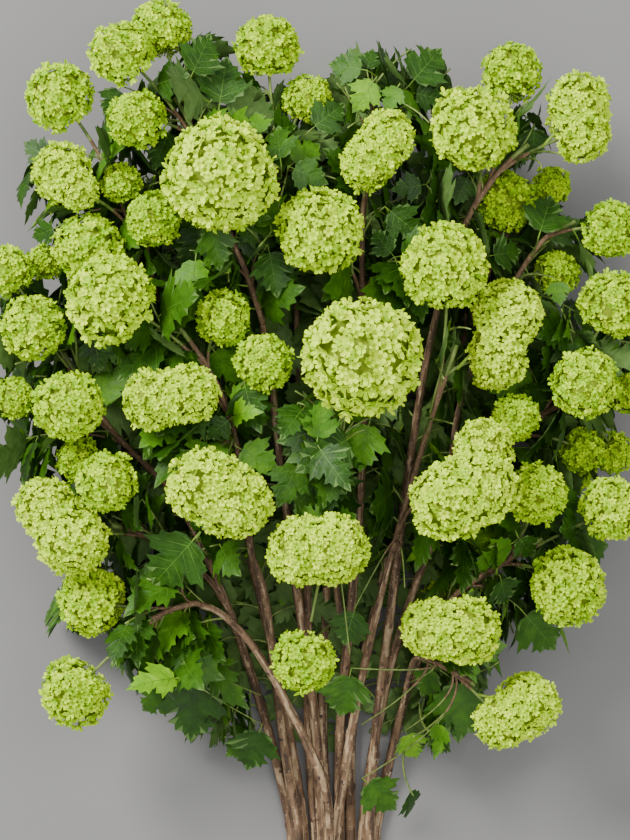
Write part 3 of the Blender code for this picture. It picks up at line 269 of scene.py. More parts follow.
# Leaves that show at the front, in cm: where each one's root and tip lie
SHOWN_LEAVES = (
    ((-9.3, 31.2, 14.8), (-7.7, 34.8, 13.7)), ((-14.4, 30.8, 15.3), (-15.9, 28.7, 14.5)),
    ((-20.0, 25.6, 14.2), (-22.1, 27.0, 13.8)), ((-20.5, 25.1, 14.2), (-22.1, 20.7, 12.9)),
    ((-19.4, 20.4, 13.6), (-21.5, 19.7, 12.3)), ((-12.9, 25.0, 14.9), (-15.2, 26.4, 14.4)),
    ((-10.6, 27.8, 15.5), (-12.2, 24.6, 14.7)), ((-8.1, 20.7, 16.6), (-10.0, 17.2, 15.9)),
    ((-7.8, 20.5, 16.6), (-6.9, 16.9, 16.3)), ((-7.2, 28.9, 15.2), (-6.6, 33.4, 13.5)),
    ((-6.6, 29.2, 15.0), (-3.4, 33.1, 12.8)), ((-4.0, 27.1, 15.2), (-4.5, 29.2, 14.1)),
    ((-2.5, 24.8, 15.8), (-2.9, 28.1, 14.0)), ((-0.4, 27.6, 14.3), (2.3, 29.8, 13.8)),
    ((-2.0, 24.8, 15.7), (1.0, 23.5, 15.5)), ((-1.9, 24.9, 15.6), (0.5, 26.8, 14.5)),
    ((3.9, 32.1, 14.3), (0.9, 32.8, 13.1)), ((4.6, 31.5, 14.5), (2.8, 28.9, 14.3)),
    ((3.9, 32.1, 14.3), (4.4, 34.0, 13.8)), ((7.0, 30.9, 14.7), (9.6, 34.0, 13.6)),
    ((7.2, 30.5, 14.7), (9.9, 30.0, 14.1)), ((6.3, 30.9, 14.7), (5.2, 28.8, 14.8)),
    ((16.0, 28.8, 13.0), (17.8, 30.6, 12.6)), ((16.5, 28.2, 12.8), (16.5, 25.6, 11.2)),
    ((17.9, 27.2, 12.5), (18.2, 23.4, 10.3)), ((16.8, 19.6, 11.9), (18.0, 23.2, 10.2)),
    ((17.5, 19.7, 11.7), (20.3, 21.3, 11.3)), ((13.0, 18.2, 14.2), (15.8, 18.8, 12.1)),
    ((11.6, 24.5, 13.8), (10.6, 22.1, 13.8)), ((8.3, 23.5, 15.0), (5.7, 23.1, 15.2)),
    ((-3.5, 18.9, 16.7), (-2.7, 15.0, 16.7)), ((5.2, 21.8, 15.7), (8.0, 19.5, 15.4)),
    ((5.9, 18.0, 16.2), (4.2, 20.1, 15.7)), ((4.1, 6.1, 17.5), (3.2, 2.1, 17.4)),
    ((8.5, 9.5, 16.4), (9.4, 4.7, 17.0)), ((-5.8, 4.0, 18.6), (-2.7, 2.3, 18.1)),
    ((-1.1, 3.1, 18.1), (-2.7, -0.5, 18.6)), ((6.3, -3.8, 17.4), (6.9, -7.5, 15.2)),
    ((-16.7, 12.5, 16.0), (-16.0, 9.6, 15.9)), ((19.6, 13.6, 13.0), (23.2, 12.0, 12.3)),
    ((18.3, 16.7, 11.3), (18.6, 14.6, 12.1)), ((-8.4, -2.3, 18.2), (-12.2, -6.5, 16.0)),
    ((-18.3, -8.7, 11.3), (-22.0, -10.9, 10.0)), ((-9.1, -13.4, 9.4), (-9.7, -19.2, 7.2)),
    ((-11.5, -14.9, 8.8), (-13.5, -16.8, 7.6)), ((2.8, -13.1, 9.5), (1.9, -17.3, 7.5)),
    ((3.1, -8.2, 11.4), (2.2, -11.4, 9.8)), ((11.3, -13.4, 9.4), (11.1, -19.2, 7.2)),
    ((9.3, -13.1, 9.5), (8.1, -15.7, 8.1)), ((15.6, -8.4, 11.4), (18.6, -11.9, 9.6)),
    ((-4.1, -17.6, 7.7), (-5.4, -21.7, 5.8)), ((7.0, -18.1, 7.5), (8.0, -20.6, 6.2)),
    ((3.7, -22.0, 6.0), (6.5, -24.9, 4.6)), ((13.8, -5.7, 15.7), (14.5, -8.1, 13.5)),
    ((15.1, -2.7, 15.8), (16.5, -4.5, 14.7)), ((-6.1, 6.1, 18.4), (-8.0, 4.5, 18.2)),
)
SHOWN_LIFTS = (0.0, -0.008, 0.007, -0.016, 0.014)  # a shown leaf lies where one of these is clear
SHOWN_LEANS = (0.0, 0.35, -0.35)  # and leans to one side by one of these

# The crown's edge seen from above, in cm, from its top left round by the right
CROWN_EDGE = (
    (-15.5, 30.5), (-11.5, 32.0), (-9.8, 35.0), (-6.5, 35.4), (-5.4, 34.4), (-1.8, 31.5), (-0.6, 32.6),
    (1.2, 33.8), (4.0, 34.8), (5.8, 33.6), (9.8, 34.8), (10.6, 33.0), (10.2, 29.5), (12.0, 28.0),
    (14.5, 29.0), (16.0, 31.0), (18.4, 31.0), (19.0, 27.0), (19.3, 22.8), (21.5, 22.3), (24.8, 20.5),
    (25.2, 10.0), (24.8, -2.0), (22.5, -5.5), (19.2, -7.0), (19.6, -12.5), (17.5, -13.0), (13.8, -13.4),
    (12.0, -19.6), (8.8, -21.5), (7.0, -25.5), (-1.5, -25.5), (-3.5, -22.0), (-6.2, -22.0), (-7.4, -19.4),
    (-10.6, -20.0), (-11.5, -17.5), (-14.5, -17.8), (-14.5, -14.5), (-16.0, -12.5), (-20.0, -12.4),
    (-22.8, -11.6), (-22.8, -9.0), (-20.5, -8.0), (-19.5, -5.0), (-20.5, -3.0), (-22.8, -1.0),
    (-24.6, 2.0), (-25.2, 16.0), (-24.0, 19.0), (-22.2, 19.3), (-23.2, 25.0), (-22.8, 27.6), (-20.0, 27.0),
    (-16.8, 26.8),
)

# Where the bare stems show, from the low to the high end: its left and right edges, and
# the height above which no leaf hangs in front of them
BARE_ALONG = (-0.25, -0.055)
BARE_LEFT = (-0.022, -0.066)
BARE_RIGHT = (0.052, 0.088)
BARE_HEIGHT = (0.012, 0.045)

# The limbs that show at the front of the crown
SHOWN_LIMBS = ("low_left", "left", "top_left", "right", "top_right", "top_middle", "outer_left",
               "outer_right", "low_right", "mid_left", "outer_top_right", "lowest_right")
SHOWN_EDGE = 0.001  # kept clear of leaves beside each of them

MOST_OVER = 0.10  # the share of a leaf that may lie over what shows
VIEW_CELL = 0.002
VIEW_FROM = (-0.30, -0.40)
VIEW_CELLS = (300, 400)


def smooth_line(points, steps):
    """A Catmull-Rom curve through the points, with this many steps between two."""
    ends = [2 * points[0] - points[1], *points, 2 * points[-1] - points[-2]]
    line = []
    for a, b, c, d in zip(ends, ends[1:], ends[2:], ends[3:]):
        for k in range(steps):
            t = k / steps
            line.append(
                0.5 * (2 * b + (c - a) * t + (2 * a - 5 * b + 4 * c - d) * t**2
                       + (3 * b - a - 3 * c + d) * t**3)
            )
    line.append(points[-1].copy())
    return line


def arc_lengths(line):
    """How far along the line each of its points lies."""
    far = [0.0]
    for a, b in zip(line, line[1:]):
        far.append(far[-1] + (b - a).length)
    return far


def taper(line, first, last, even=0.0):
    """The radius at each point of a limb that thins steadily beyond its even start."""
    far = arc_lengths(line)
    return [first + (last - first) * max(0.0, s - even) / (far[-1] - even) for s in far]


def along_line(line, distance):
    """The point at this distance along the line, and the line's direction there."""
    for a, b in zip(line, line[1:]):
        step = (b - a).length
        if distance <= step:
            return a + (b - a) * (distance / step), (b - a).normalized()
        distance -= step
    return line[-1].copy(), (line[-1] - line[-2]).normalized()


def trimmed(line, start, end):
    """The line between two distances along it."""
    far = arc_lengths(line)
    inner = [p for p, s in zip(line, far) if start + 1e-5 < s < end - 1e-5]
    return [along_line(line, start)[0], *inner, along_line(line, end)[0]]


def beads_of(line, radii):
    """A limb as a row of beads: an array of (x, y, z, radius)."""
    far = arc_lengths(line)
    count = max(2, math.ceil(far[-1] / BEAD_STEP) + 1)
    at = np.linspace(0, far[-1], count)
    columns = [np.interp(at, far, [p[k] for p in line]) for k in range(3)]
    return np.stack([*columns, np.interp(at, far, radii)], axis=1)


class Taken:
    """The room that solids take up, as beads with their owner's number."""

    def __init__(self):
        self.beads = np.zeros((0, 4))
        self.owners = np.zeros(0, int)
        self.numbers = {}

    def number(self, owner):
        return self.numbers.setdefault(owner, len(self.numbers))

    def add(self, owner, beads):
        self.beads = np.vstack([self.beads, beads])
        self.owners = np.append(self.owners, np.full(len(beads), self.number(owner)))

    def room(self, beads, owner=None):
        """The least distance from these beads to those of every other owner."""
        rows = self.beads
        if owner is not None:
            rows = rows[self.owners != self.number(owner)]
        low = (beads[:, :3] - beads[:, 3:]).min(0) - ROOM_NEAR
        high = (beads[:, :3] + beads[:, 3:]).max(0) + ROOM_NEAR
        near = rows[((rows[:, :3] + rows[:, 3:] > low) & (rows[:, :3] - rows[:, 3:] < high)).all(1)]
        if not len(near):
            return ROOM_NEAR
        apart = np.linalg.norm(beads[:, None, :3] - near[None, :, :3], axis=2)
        return float((apart - beads[:, None, 3] - near[None, :, 3]).min())


def pile_place(column, row):
    """Where a stem's middle lies at the waist: rows sit in the notches of the row below."""
    across = WAIST_CENTRE + (column - 3.5) * PILE_PITCH
    height = STEM_RADIUS + (row - 1) * PILE_PITCH * math.sin(math.radians(60))
    return Vector((across, WAIST_ALONG, height))


def stem_line(stem):
    """A stem with its mass's own stem, and which of the line's points is its tip."""
    waist = pile_place(stem.column, stem.row)
    foot = waist.copy()
    foot.x = WAIST_CENTRE + (waist.x - WAIST_CENTRE) * FOOT_SPREAD
    foot.y = CUT_ALONG
    points = [foot, waist, *(cm(*p) for p in (*stem.through, stem.tip, *stem.beyond))]
    line = smooth_line(points, 2)
    return [foot, *line[2:]], 2 * len(stem.through) + 3


def bough_line(bough, start):
    """A bough with its mass's own stem, and which of the line's points is its tip."""
    points = [start, *(cm(*p) for p in (*bough.through, bough.tip, *bough.beyond))]
    return smooth_line(points, 3), 3 * len(bough.through) + 3


def on_stem(limb, along):
    """The point of a stem that lies this far along the bunch, and its radius there."""
    line, radii = limb
    for a, b, first, last in zip(line, line[1:], radii, radii[1:]):
        if a.y <= along <= b.y:
            share = (along - a.y) / (b.y - a.y)
            return a.lerp(b, share), first + (last - first) * share
    return line[-1].copy(), radii[-1]


def split_limb(line, tip, first, last, even=0.0):
    """A limb, and its mass's own stem, which carries on a gap beyond the limb's tip."""
    far = arc_lengths(line)
    end = far[tip] - TIP_SETBACK
    limb = trimmed(line, 0.0, end - GAP / 2)
    axis = trimmed(line, end + GAP / 2, far[-1])
    return (limb, taper(limb, first, last, even)), (axis, taper(axis, last, AXIS_TIP_RADIUS))


def grow_limbs():
    """Every stem and bough, and the stem of the mass at its tip, by name."""
    limbs, axes = {}, {}
    for stem in STEMS:
        limbs["stem_" + stem.name], axes[stem.name] = split_limb(
            *stem_line(stem), STEM_RADIUS, STEM_TIP_RADIUS, WAIST_ALONG - CUT_ALONG
        )
    for bough in BOUGHS:
        start, radius = on_stem(limbs["stem_" + bough.parent], bough.along * CM)
        limbs["bough_" + bough.name], axes[bough.name] = split_limb(
            *bough_line(bough, start), min(BOUGH_RADIUS, radius * FORK_SHARE), BOUGH_TIP_RADIUS
        )
    return limbs, axes


Lobe = namedtuple("Lobe", "middle radius")
Head = namedtuple("Head", "lobes goal mass large name")  # a leafy shoot has no lobes


def lobe_beads(lobes):
    return np.array([[*lobe.middle, lobe.radius * BALL_SWELL] for lobe in lobes]).reshape(-1, 4)


def width_of(lobes):
    """A head's greatest width across all its lobes."""
    return max(
        (a.middle - b.middle).length + a.radius + b.radius for a in lobes for b in lobes
    )


AXIS_BEADS = {}  # each mass's own stem as beads, filled at the first use


def nearest_mass(point, axes):
    """The mass whose own stem lies nearest to this point."""
    if not AXIS_BEADS:
        AXIS_BEADS.update({name: beads_of(*axis)[:, :3] for name, axis in axes.items()})

    def away(name):
        return np.linalg.norm(AXIS_BEADS[name] - np.array(point), axis=1).min()

    return min(axes, key=away)


def half_width_at(along):
    """Half the crown's width, narrowing to both ends."""
    low, high = UNDER_ALONG
    share = (along - low) / (high - low)
    return UNDER_HALF_WIDTH * (0.45 + 0.55 * math.sin(math.pi * min(1.0, 0.12 + 0.92 * share)))


def under_heads(taken, rng):
    """The heads on the underside, placed one by one where there is room for them."""
    found = []
    for _ in range(UNDER_TRIES):
        if len(found) == UNDER_COUNT:
            break
        radius = rng.uniform(*UNDER_WIDTH) / 2
        along = rng.uniform(*UNDER_ALONG)
        across = rng.uniform(-1, 1) * half_width_at(along)
        lift = max(0.0, rng.uniform(-1.2, 1)) * UNDER_LIFT
        lobes = [Lobe(Vector((across, along, radius * BALL_SWELL + lift)), radius)]
        if taken.room(lobe_beads(lobes)) > 2 * HEAD_CLEAR:
            taken.add("under", lobe_beads(lobes))
            found.append(lobes)
    return found


def grow_heads(axes, taken, rng):
    """Every flower head, with the mass that carries it."""
    facing = [[Lobe(cm(*row[:3]), row[3] * CM / 2) for row in head] for head in HEADS]
    for lobes in facing:
        taken.add("facing", lobe_beads(lobes))
    heads, large_count, small_count = [], 0, 0
    for lobes in facing + under_heads(taken, rng):
        large = width_of(lobes) >= LARGE_HEAD
        large_count += large
        small_count += not large
        name = f"head_{large_count:02d}" if large else f"small_head_{small_count:02d}"
        mass = nearest_mass(sum((lobe.middle for lobe in lobes), Vector()) / len(lobes), axes)
        root = axes[mass][0][0]
        goal = min((lobe.middle for lobe in lobes), key=lambda p: (p - root).length)
        heads.append(Head(lobes, goal, mass, large, name))
    return heads


def grow_shoots(axes):
    """The leafy shoots, each with the mass that carries it."""
    tips = [cm(*place) for place in SHOOTS]
    return [
        Head([], tip, nearest_mass(tip, axes), False, f"shoot_{number:02d}")
        for number, tip in enumerate(tips, 1)
    ]


def curved(start, knee, goal, t):
    """Where the share t of a curve from start to goal that bends at the knee ends."""
    return start * (1 - t) ** 2 + knee * 2 * t * (1 - t) + goal * t**2


def knee_of(start, heading, goal):
    """Where a twig bends that leaves along its stem's heading and turns to its goal."""
    return start + heading * (goal - start).length * 0.28 + (goal - start) * 0.22


def twig_line(start, heading, goal):
    """A twig's first, middle and last point."""
    knee = knee_of(start, heading, goal)
    return [curved(start, knee, goal, t) for t in (0.0, 0.5, 1.0)]


def bare_length(lobes, twig):
    """How far along its twig a flower head begins."""
    edge = arc_lengths(twig)[-1]
    while edge > 0:
        point = along_line(twig, edge)[0]
        if all((point - lobe.middle).length > lobe.radius * BALL_SWELL for lobe in lobes):
            break
        edge -= 0.0005
    return edge


def twig_end(head, twig):
    """How far the mass's part of a twig goes: a large head keeps the last of it."""
    bare = bare_length(head.lobes, twig)
    return bare - STALK_LENGTH if head.large else bare


def free_start(at, longest, starts):
    """The nearest place to this one along a mass's stem that keeps off other twigs' starts."""
    steps = sorted(range(-30, 31), key=abs)
    for step in steps:
        place = at + step * TWIG_RADIUS
        if TIP_SETBACK < place < longest - 0.001:
            if all(abs(place - other) > 1.8 * TWIG_RADIUS for other in starts):
                return place
    return at


def grow_twig(head, axes, starts, taken):
    """A head's twig, by the first way from its mass's stem that is clear, and the room it has."""
    line, radii = axes[head.mass]
    longest = arc_lengths(line)[-1]
    beads = beads_of(line, radii)
    around = lobe_beads(head.lobes)
    apart = np.linalg.norm(beads[:, :3] - np.array(head.goal), axis=1)
    nearest = apart.argmin() / (len(beads) - 1) * longest
    best = None
    for lean in TWIG_LEANS:
        at = free_start(
            min(max(nearest - lean * apart.min(), TIP_SETBACK), longest - 0.001), longest, starts
        )
        start, heading = along_line(line, at)
        twig = twig_line(start, heading, head.goal)
        own = beads_of(twig, [TWIG_RADIUS] * len(twig))
        off = np.linalg.norm(own[:, None, :3] - around[None, :, :3], axis=2) - around[:, 3]
        own = own[(off > TWIG_RADIUS + 2 * HEAD_CLEAR).all(1)]
        room = taken.room(own, head.mass) if len(own) else 1.0
        if twig_end(head, twig) < SHORTEST_TWIG:
            room = min(room, 0.0) - 1.0
        if best is None or room > best[0]:
            best = (room, twig, own, at)
        if room > HEAD_CLEAR:
            break
    room, twig, own, at = best
    if not head.lobes and room < HEAD_CLEAR:
        return None, room
    starts.append(at)
    if len(own):
        taken.add(head.mass, own)
    return twig, room


def leaf_frame(root, heading, outward):
    """A leaf's matrix: +Y from its root to its tip, +Z its upper face."""
    along = heading.normalized()
    up = outward - along * outward.dot(along)
    if up.length < 1e-6:
        up = along.orthogonal()
    up.normalize()
    across = along.cross(up)
    matrix = Matrix((across, along, up)).transposed().to_4x4()
    matrix.translation = root - along * LEAF_ROOT
    return matrix


def leaf_sample():
    """Points spread evenly over a leaf of length 1, tip first."""
    corners = [np.array((*place, rise)) for place, rise in zip(LEAF_OUTLINE, LEAF_RISE)]
    middle = np.array((*LEAF_MIDDLE, 0.0))
    points = [corners[3], *(c for c in corners if c[1] > LEAF_BEADS_FROM)]
    for a, b in zip(corners, corners[1:] + corners[:1]):
        sides = np.array((a[:2] - middle[:2], b[:2] - middle[:2])).T
        for i, j in np.ndindex(14, 14):
            place = np.array((i - 6.5, j)) * LEAF_BEAD_STEP
            u, v = np.linalg.solve(sides, place - middle[:2])
            if u >= 0 and v >= 0 and u + v <= 1 and place[1] > LEAF_BEADS_FROM:
                points.append(middle + u * (a - middle) + v * (b - middle))
    return np.array(points)


LEAF_SAMPLE = leaf_sample()


def leaf_beads(matrix, length):
    turn, place = np.array(matrix.to_3x3()), np.array(matrix.translation)
    points = LEAF_SAMPLE * length @ turn.T + place
    return np.column_stack([points, np.full(len(points), LEAF_BEAD_RADIUS)])


class Shown:
    """What shows from above, as the height in each small cell that no leaf may lie over."""

    def __init__(self):
        places = [VIEW_FROM[k] + (np.arange(VIEW_CELLS[k]) + 0.5) * VIEW_CELL for k in (0, 1)]
        self.x, self.y = np.meshgrid(*places, indexing="ij")
        edge = [cm(*place, 0) for place in CROWN_EDGE]
        inside = np.zeros(self.x.shape, bool)
        for a, b in zip(edge, edge[1:] + edge[:1]):
            level = (a.y > self.y) != (b.y > self.y)
            inside ^= level & (self.x < a.x + (b.x - a.x) * (self.y - a.y) / (b.y - a.y or 1))
        self.heights = np.where(inside, np.inf, -np.inf)
        left, right, over = (
            np.interp(self.y, BARE_ALONG, ends) for ends in (BARE_LEFT, BARE_RIGHT, BARE_HEIGHT)
        )
        low, high = BARE_ALONG
        bare = (self.y > low) & (self.y < high) & (self.x > left) & (self.x < right)
        self.heights = np.where(bare, np.minimum(self.heights, over), self.heights)

    def keep(self, beads):
        """From now on no leaf may lie over these beads."""
        for x, y, z, radius in beads:
            i, j = (int((v - low) / VIEW_CELL) for v, low in zip((x, y), VIEW_FROM))
            reach = int(radius / VIEW_CELL) + 1
            part = np.s_[max(0, i - reach):i + reach + 1, max(0, j - reach):j + reach + 1]
            near = np.hypot(self.x[part] - x, self.y[part] - y) < radius
            self.heights[part] = np.where(near, np.minimum(self.heights[part], z), self.heights[part])

    def share_over(self, points):
        """The share of these points that lie over what shows."""
        i, j = (
            np.clip(((points[:, k] - VIEW_FROM[k]) / VIEW_CELL).astype(int), 0, VIEW_CELLS[k] - 1)
            for k in (0, 1)
        )
        return float((points[:, 2] > self.heights[i, j]).mean())


def crown_outward(point):
    """Away from the line through the middle of the crown."""
    middle = Vector((0, 0, 0.035 + 0.10 * min(1.0, max(0.0, (point.y + 0.2) / 0.2))))
    out = Vector((point.x * 0.6, 0, point.z - middle.z))
    return out.normalized() if out.length > 1e-6 else Vector((0, 0, 1))


def leaf_sites(line, spacing, first):
    """Places for pairs of leaves along a twig, as (distance, quarter turn)."""
    length = arc_lengths(line)[-1]
    count = max(1, int((length - first) / spacing) + 1)
    return [(first + k * spacing, k % 2) for k in range(count) if first + k * spacing < length]


def grow_pair(mass, line, distance, turn, axes, taken, shown, rng):
    """The leaves of one pair that have room, each tried at several angles."""
    grown = []
    root, heading = along_line(line, distance)
    across = heading.orthogonal().normalized()
    spin = rng.uniform(0, 0.6) + turn * math.pi / 2
    for side in (0.0, math.pi):
        length = LEAF_LENGTH * rng.uniform(0.85, 1.12)
        for swing, pitch in LEAF_TRIES:
            angle = spin + side + swing
            out = Matrix.Rotation(angle, 3, heading) @ across
            way = out * math.cos(pitch) + heading * math.sin(pitch) + Vector((0, -LEAF_DROOP, 0))
            matrix = leaf_frame(root, way, crown_outward(root) + out * 0.3)
            beads = leaf_beads(matrix, length)
            if beads[:, 2].min() < LEAF_BEAD_RADIUS:
                continue
            if shown.share_over(beads) > MOST_OVER:
                continue
            if nearest_mass(beads[0, :3], axes) != mass:
                continue
            if taken.room(beads) > LEAF_CLEAR:
                taken.add(mass, beads)
                grown.append((matrix, length))
                break
    return grown


def grow_leaves(mass, axes, twigs, taken, shown, rng):
    """The leaves of one mass: a pair under each head and pairs along its own stem."""
    leaves = []
    for head, twig in twigs:
        end = twig_end(head, twig)
        if end > LEAFY_TWIG:
            leaves += grow_pair(mass, twig, end * PAIR_PLACE, 0, axes, taken, shown, rng)
        if head.name.startswith("shoot"):
            leaves += grow_pair(mass, twig, end - 2 * TWIG_RADIUS, 1, axes, taken, shown, rng)
    line = axes[mass][0]
    for distance, turn in leaf_sites(line, PAIR_SPACING, 0.02):
        leaves += grow_pair(mass, line, distance, turn, axes, taken, shown, rng)
    return leaves


def grow_shown(axes, starts, twigs, taken, shown):
    """The leaves that show at the front, each on a twig of its own, by mass."""
    grown = {mass: [] for mass in axes}
    for number, (root, tip) in enumerate(SHOWN_LEAVES, 1):
        way = cm(*tip) - cm(*root)
        for lift, lean in ((lift, lean) for lift in SHOWN_LIFTS for lean in SHOWN_LEANS):
            place = cm(*root) + Vector((0, 0, lift))
            matrix = leaf_frame(place, way, Vector((lean, 0, 1)))
            beads = leaf_beads(matrix, way.length)
            if taken.room(beads) <= LEAF_CLEAR:
                continue
            mass = nearest_mass(place, axes)
            stalk = Head([], place, mass, False, f"leaf_twig_{number:02d}")
            twig = grow_twig(stalk, axes, starts[mass], taken)[0]
            if twig:
                taken.add(mass, beads)
                shown.keep(beads)
                twigs[mass].append((stalk, twig))
                grown[mass].append((matrix, way.length))
                break
    return grown


def grow():
    """The whole bunch: limbs, the masses' stems, heads, twigs and leaves."""
    rng = random.Random(SEED)
    taken = Taken()
    limbs, axes = grow_limbs()
    for name, limb in limbs.items():
        taken.add(name, beads_of(*limb))
    for name, axis in axes.items():
        taken.add(name, beads_of(*axis))
    heads = grow_heads(axes, taken, rng)
    twigs = {name: [] for name in axes}
    starts = {name: [] for name in axes}
    for head in heads + grow_shoots(axes):
        twig = grow_twig(head, axes, starts[head.mass], taken)[0]
        if twig:
            twigs[head.mass].append((head, twig))
    shown = Shown()
    for head in heads[: len(HEADS)]:
        shown.keep(lobe_beads(head.lobes))
    for name in SHOWN_LIMBS:
        limb = limbs.get("stem_" + name) or limbs["bough_" + name]
        for line, radii in (limb, axes[name]):
            shown.keep(beads_of(line, [radius + SHOWN_EDGE for radius in radii]))
    first = grow_shown(axes, starts, twigs, taken, shown)
    leaves = {
        mass: first[mass] + grow_leaves(mass, axes, twigs[mass], taken, shown, rng) for mass in axes
    }
    return limbs, axes, heads, twigs, leaves, shown


# Bark, in metres
RING_STEP = 0.0022  # between the rings of a limb's points
BARK_SIDES = 16  # of a stem, and a bough has four fewer
BARK_SHARE = 0.94  # the bark's radius, as a share of the solid's
RIDGES = ((2, 0.034), (3, 0.022), (5, 0.010))  # how many run along a limb, and how deep
RIDGE_DRIFT = 0.12  # how far they wander round it
UNEVEN = 0.010  # the relief's small unevenness, and the limb's along its length
SWELLING = 0.02
NODE_SPACING = (0.038, 0.064)
NODE_SWELL = 0.10
NODE_REACH = 0.0032
BUD_SWELL = 0.26
BUD_WIDTH = 0.45  # in radians round the limb
BUD_REACH = 0.0026
BUD_EDGE = 0.28  # a bud scar is dark from here, as a share of its height
STREAK_LENGTH = 0.016  # of the paler and darker streaks
STREAK_EDGE = 0.62  # they stand out from here, in units of their spread
PLAIN, SCAR, CUT, PALE, DEEP = range(5)  # the finishes of a limb

# Twigs, in metres
AXIS_STEP = 0.00396  # between the rings of a mass's own stem
AXIS_SIDES = 9
AXIS_BROWN = 0.82  # how far along it is brown
TWIG_STEP = 0.0055
TWIG_SIDES = 6
HEAD_TWIG = 0.0015  # a twig's radius at its root, under a head and under a leaf
LEAF_TWIG = 0.0009
TWIG_THINNING = 0.0004
TWIG_BROWN = 0.45  # how far along a long twig is brown, where it has a node
SHORT_TWIG = 0.045  # a twig shorter than this is green all the way
SHOOT_RADIUS = 0.00085
SHOOT_TRIES = 8
SHOOT_TAKEN = 0.1  # the share of a shoot's points that may lie in taken cells
SHOOT_LENGTH = (0.024, 0.060)
SHOOT_SPACING = (0.012, 0.022)
AXIS_SHOOTS, TWIG_SHOOTS = 0.8, 0.5  # the chance of a shoot at each place
STEM_SHOOT_SPACING = (0.014, 0.030)
STEM_SHOOT_LENGTH = (0.022, 0.050)
STEM_SHOOTS_ALONG = (-0.20, 0.06)  # they grow between these places along the bunch
YOUNG = 2  # the finish of green wood, after the twigs' bark and nodes

# Finer leaves, in metres
STALK_SHARE = 0.17  # a leaf's stalk, as a share of its whole length
STALK_RADIUS = 0.00085
WAVES = 7  # how fast a blade's edge waves, in radians along its length
CELL = 0.0025  # the crown's space is kept in cells this wide
FLOOR_CLEAR = 0.0003  # nothing reaches lower
LOWEST_LEAF = 0.0008
MOST_TAKEN = 0.055  # the share of a leaf's points that may lie in taken cells
FINE_OVER = 0.05  # the share of a fine leaf that may lie over what shows
FINE_LENGTH = (0.030, 0.054)
FINE_SPACING = (0.012, 0.020)
STEM_LEAF_LENGTH = (0.024, 0.046)
FINE_TRIES, STEM_TRIES = 12, 10
BOX_SLACK = 0.008  # how far a fine leaf may stand outside its mass's box
CROWN_SLACK = 0.002  # and outside the whole bunch's
TINT_SHARES = (0.42, 0.34, 0.19, 0.05)  # of dark, middle, fresh and young leaves
VEINS_ABOVE = 0.10  # a leaf that starts lower is hidden by others and has no raised veins
PIECE_FACES = 180000  # the most in one piece of leaves

# Florets, in metres
FLORET_BASE = 0.0023  # a floret is this wide, and wider by this share of its lobe's width
FLORET_SHARE = 0.092
FLORET_SIZES = (0.86, 1.16)
FLORET_COVER = 1.32  # how many times over they cover a lobe
FLORET_DEPTH = (0.20, 0.74)  # how far each is sunk, as a share of its width
FLORET_TILT = 0.34
PETAL_TILT = 0.15
SPREAD = 0.40  # how far each strays from an even spread
SUNK_SHARE = 0.86  # florets this near another lobe's middle are left out, by its radius
SINKING_SHARE = 0.9  # and half of those up to here
LUMPS = 9  # on each head
LUMP_SHARE = 0.09
LUMP_WIDTH = 7
BLEND_SHARE = 0.17  # how softly lobes run into one another, as a share of a lobe's radius
CORE_SHARE = 0.84
BARE_CONE = math.cos(math.radians(33))  # round the stalk, where the rays show
RAYS = 11  # they carry the florets, and show in the cone
RAY_LEAN = (24, 44)
RAY_RADIUS = 0.00055
GOLDEN = math.pi * (3 - math.sqrt(5))
PALE_WIDTHS = (0.035, 0.05)  # petals are green at this width of a head, and pale this much wider


def linear(red, green, blue):
    """A base colour from the values, 0 to 255, that a screen shows it with."""
    shares = (value / 255 for value in (red, green, blue))
    return tuple(s / 12.92 if s <= 0.04045 else ((s + 0.055) / 1.055) ** 2.4 for s in shares)


def node(made, kind, **inputs):
    """A new node of a material, with these values in its sockets."""
    new = made.node_tree.nodes.new(kind)
    for socket, value in inputs.items():
        new.inputs[socket.replace("_", " ")].default_value = value
    return new


def finish(name, dark, light, scale, rough, relief, stretch=(1, 1, 1), **sockets):
    """A material: two near colours in soft patches, uneven roughness and a fine relief."""
    made = bpy.data.materials.new(name)
    made.use_nodes = True
    link = made.node_tree.links.new
    shader = made.node_tree.nodes["Principled BSDF"]
    place = node(made, "ShaderNodeTexCoord")
    spread = node(made, "ShaderNodeMapping", Scale=stretch)
    link(place.outputs["Object"], spread.inputs["Vector"])
    patches = node(made, "ShaderNodeTexNoise", Scale=scale, Detail=4)
    link(spread.outputs["Vector"], patches.inputs["Vector"])
    ramp = node(made, "ShaderNodeValToRGB")
    for end, position, colour in zip(ramp.color_ramp.elements, (0.36, 0.64), (dark, light)):
        end.position = position
        end.color = (*linear(*colour), 1)
    link(patches.outputs["Fac"], ramp.inputs["Fac"])
    link(ramp.outputs["Color"], shader.inputs["Base Color"])
    uneven = node(made, "ShaderNodeMapRange", To_Min=rough[0], To_Max=rough[1])
    link(patches.outputs["Fac"], uneven.inputs["Value"])
    link(uneven.outputs["Result"], shader.inputs["Roughness"])
    grain = node(made, "ShaderNodeTexNoise", Scale=relief[0], Detail=5)
    link(spread.outputs["Vector"], grain.inputs["Vector"])
    bump = node(made, "ShaderNodeBump", Strength=relief[1], Distance=relief[2])
    link(grain.outputs["Fac"], bump.inputs["Height"])
    link(bump.outputs["Normal"], shader.inputs["Normal"])
    for socket, value in sockets.items():
        shader.inputs[socket.replace("_", " ")].default_value = value
    return made


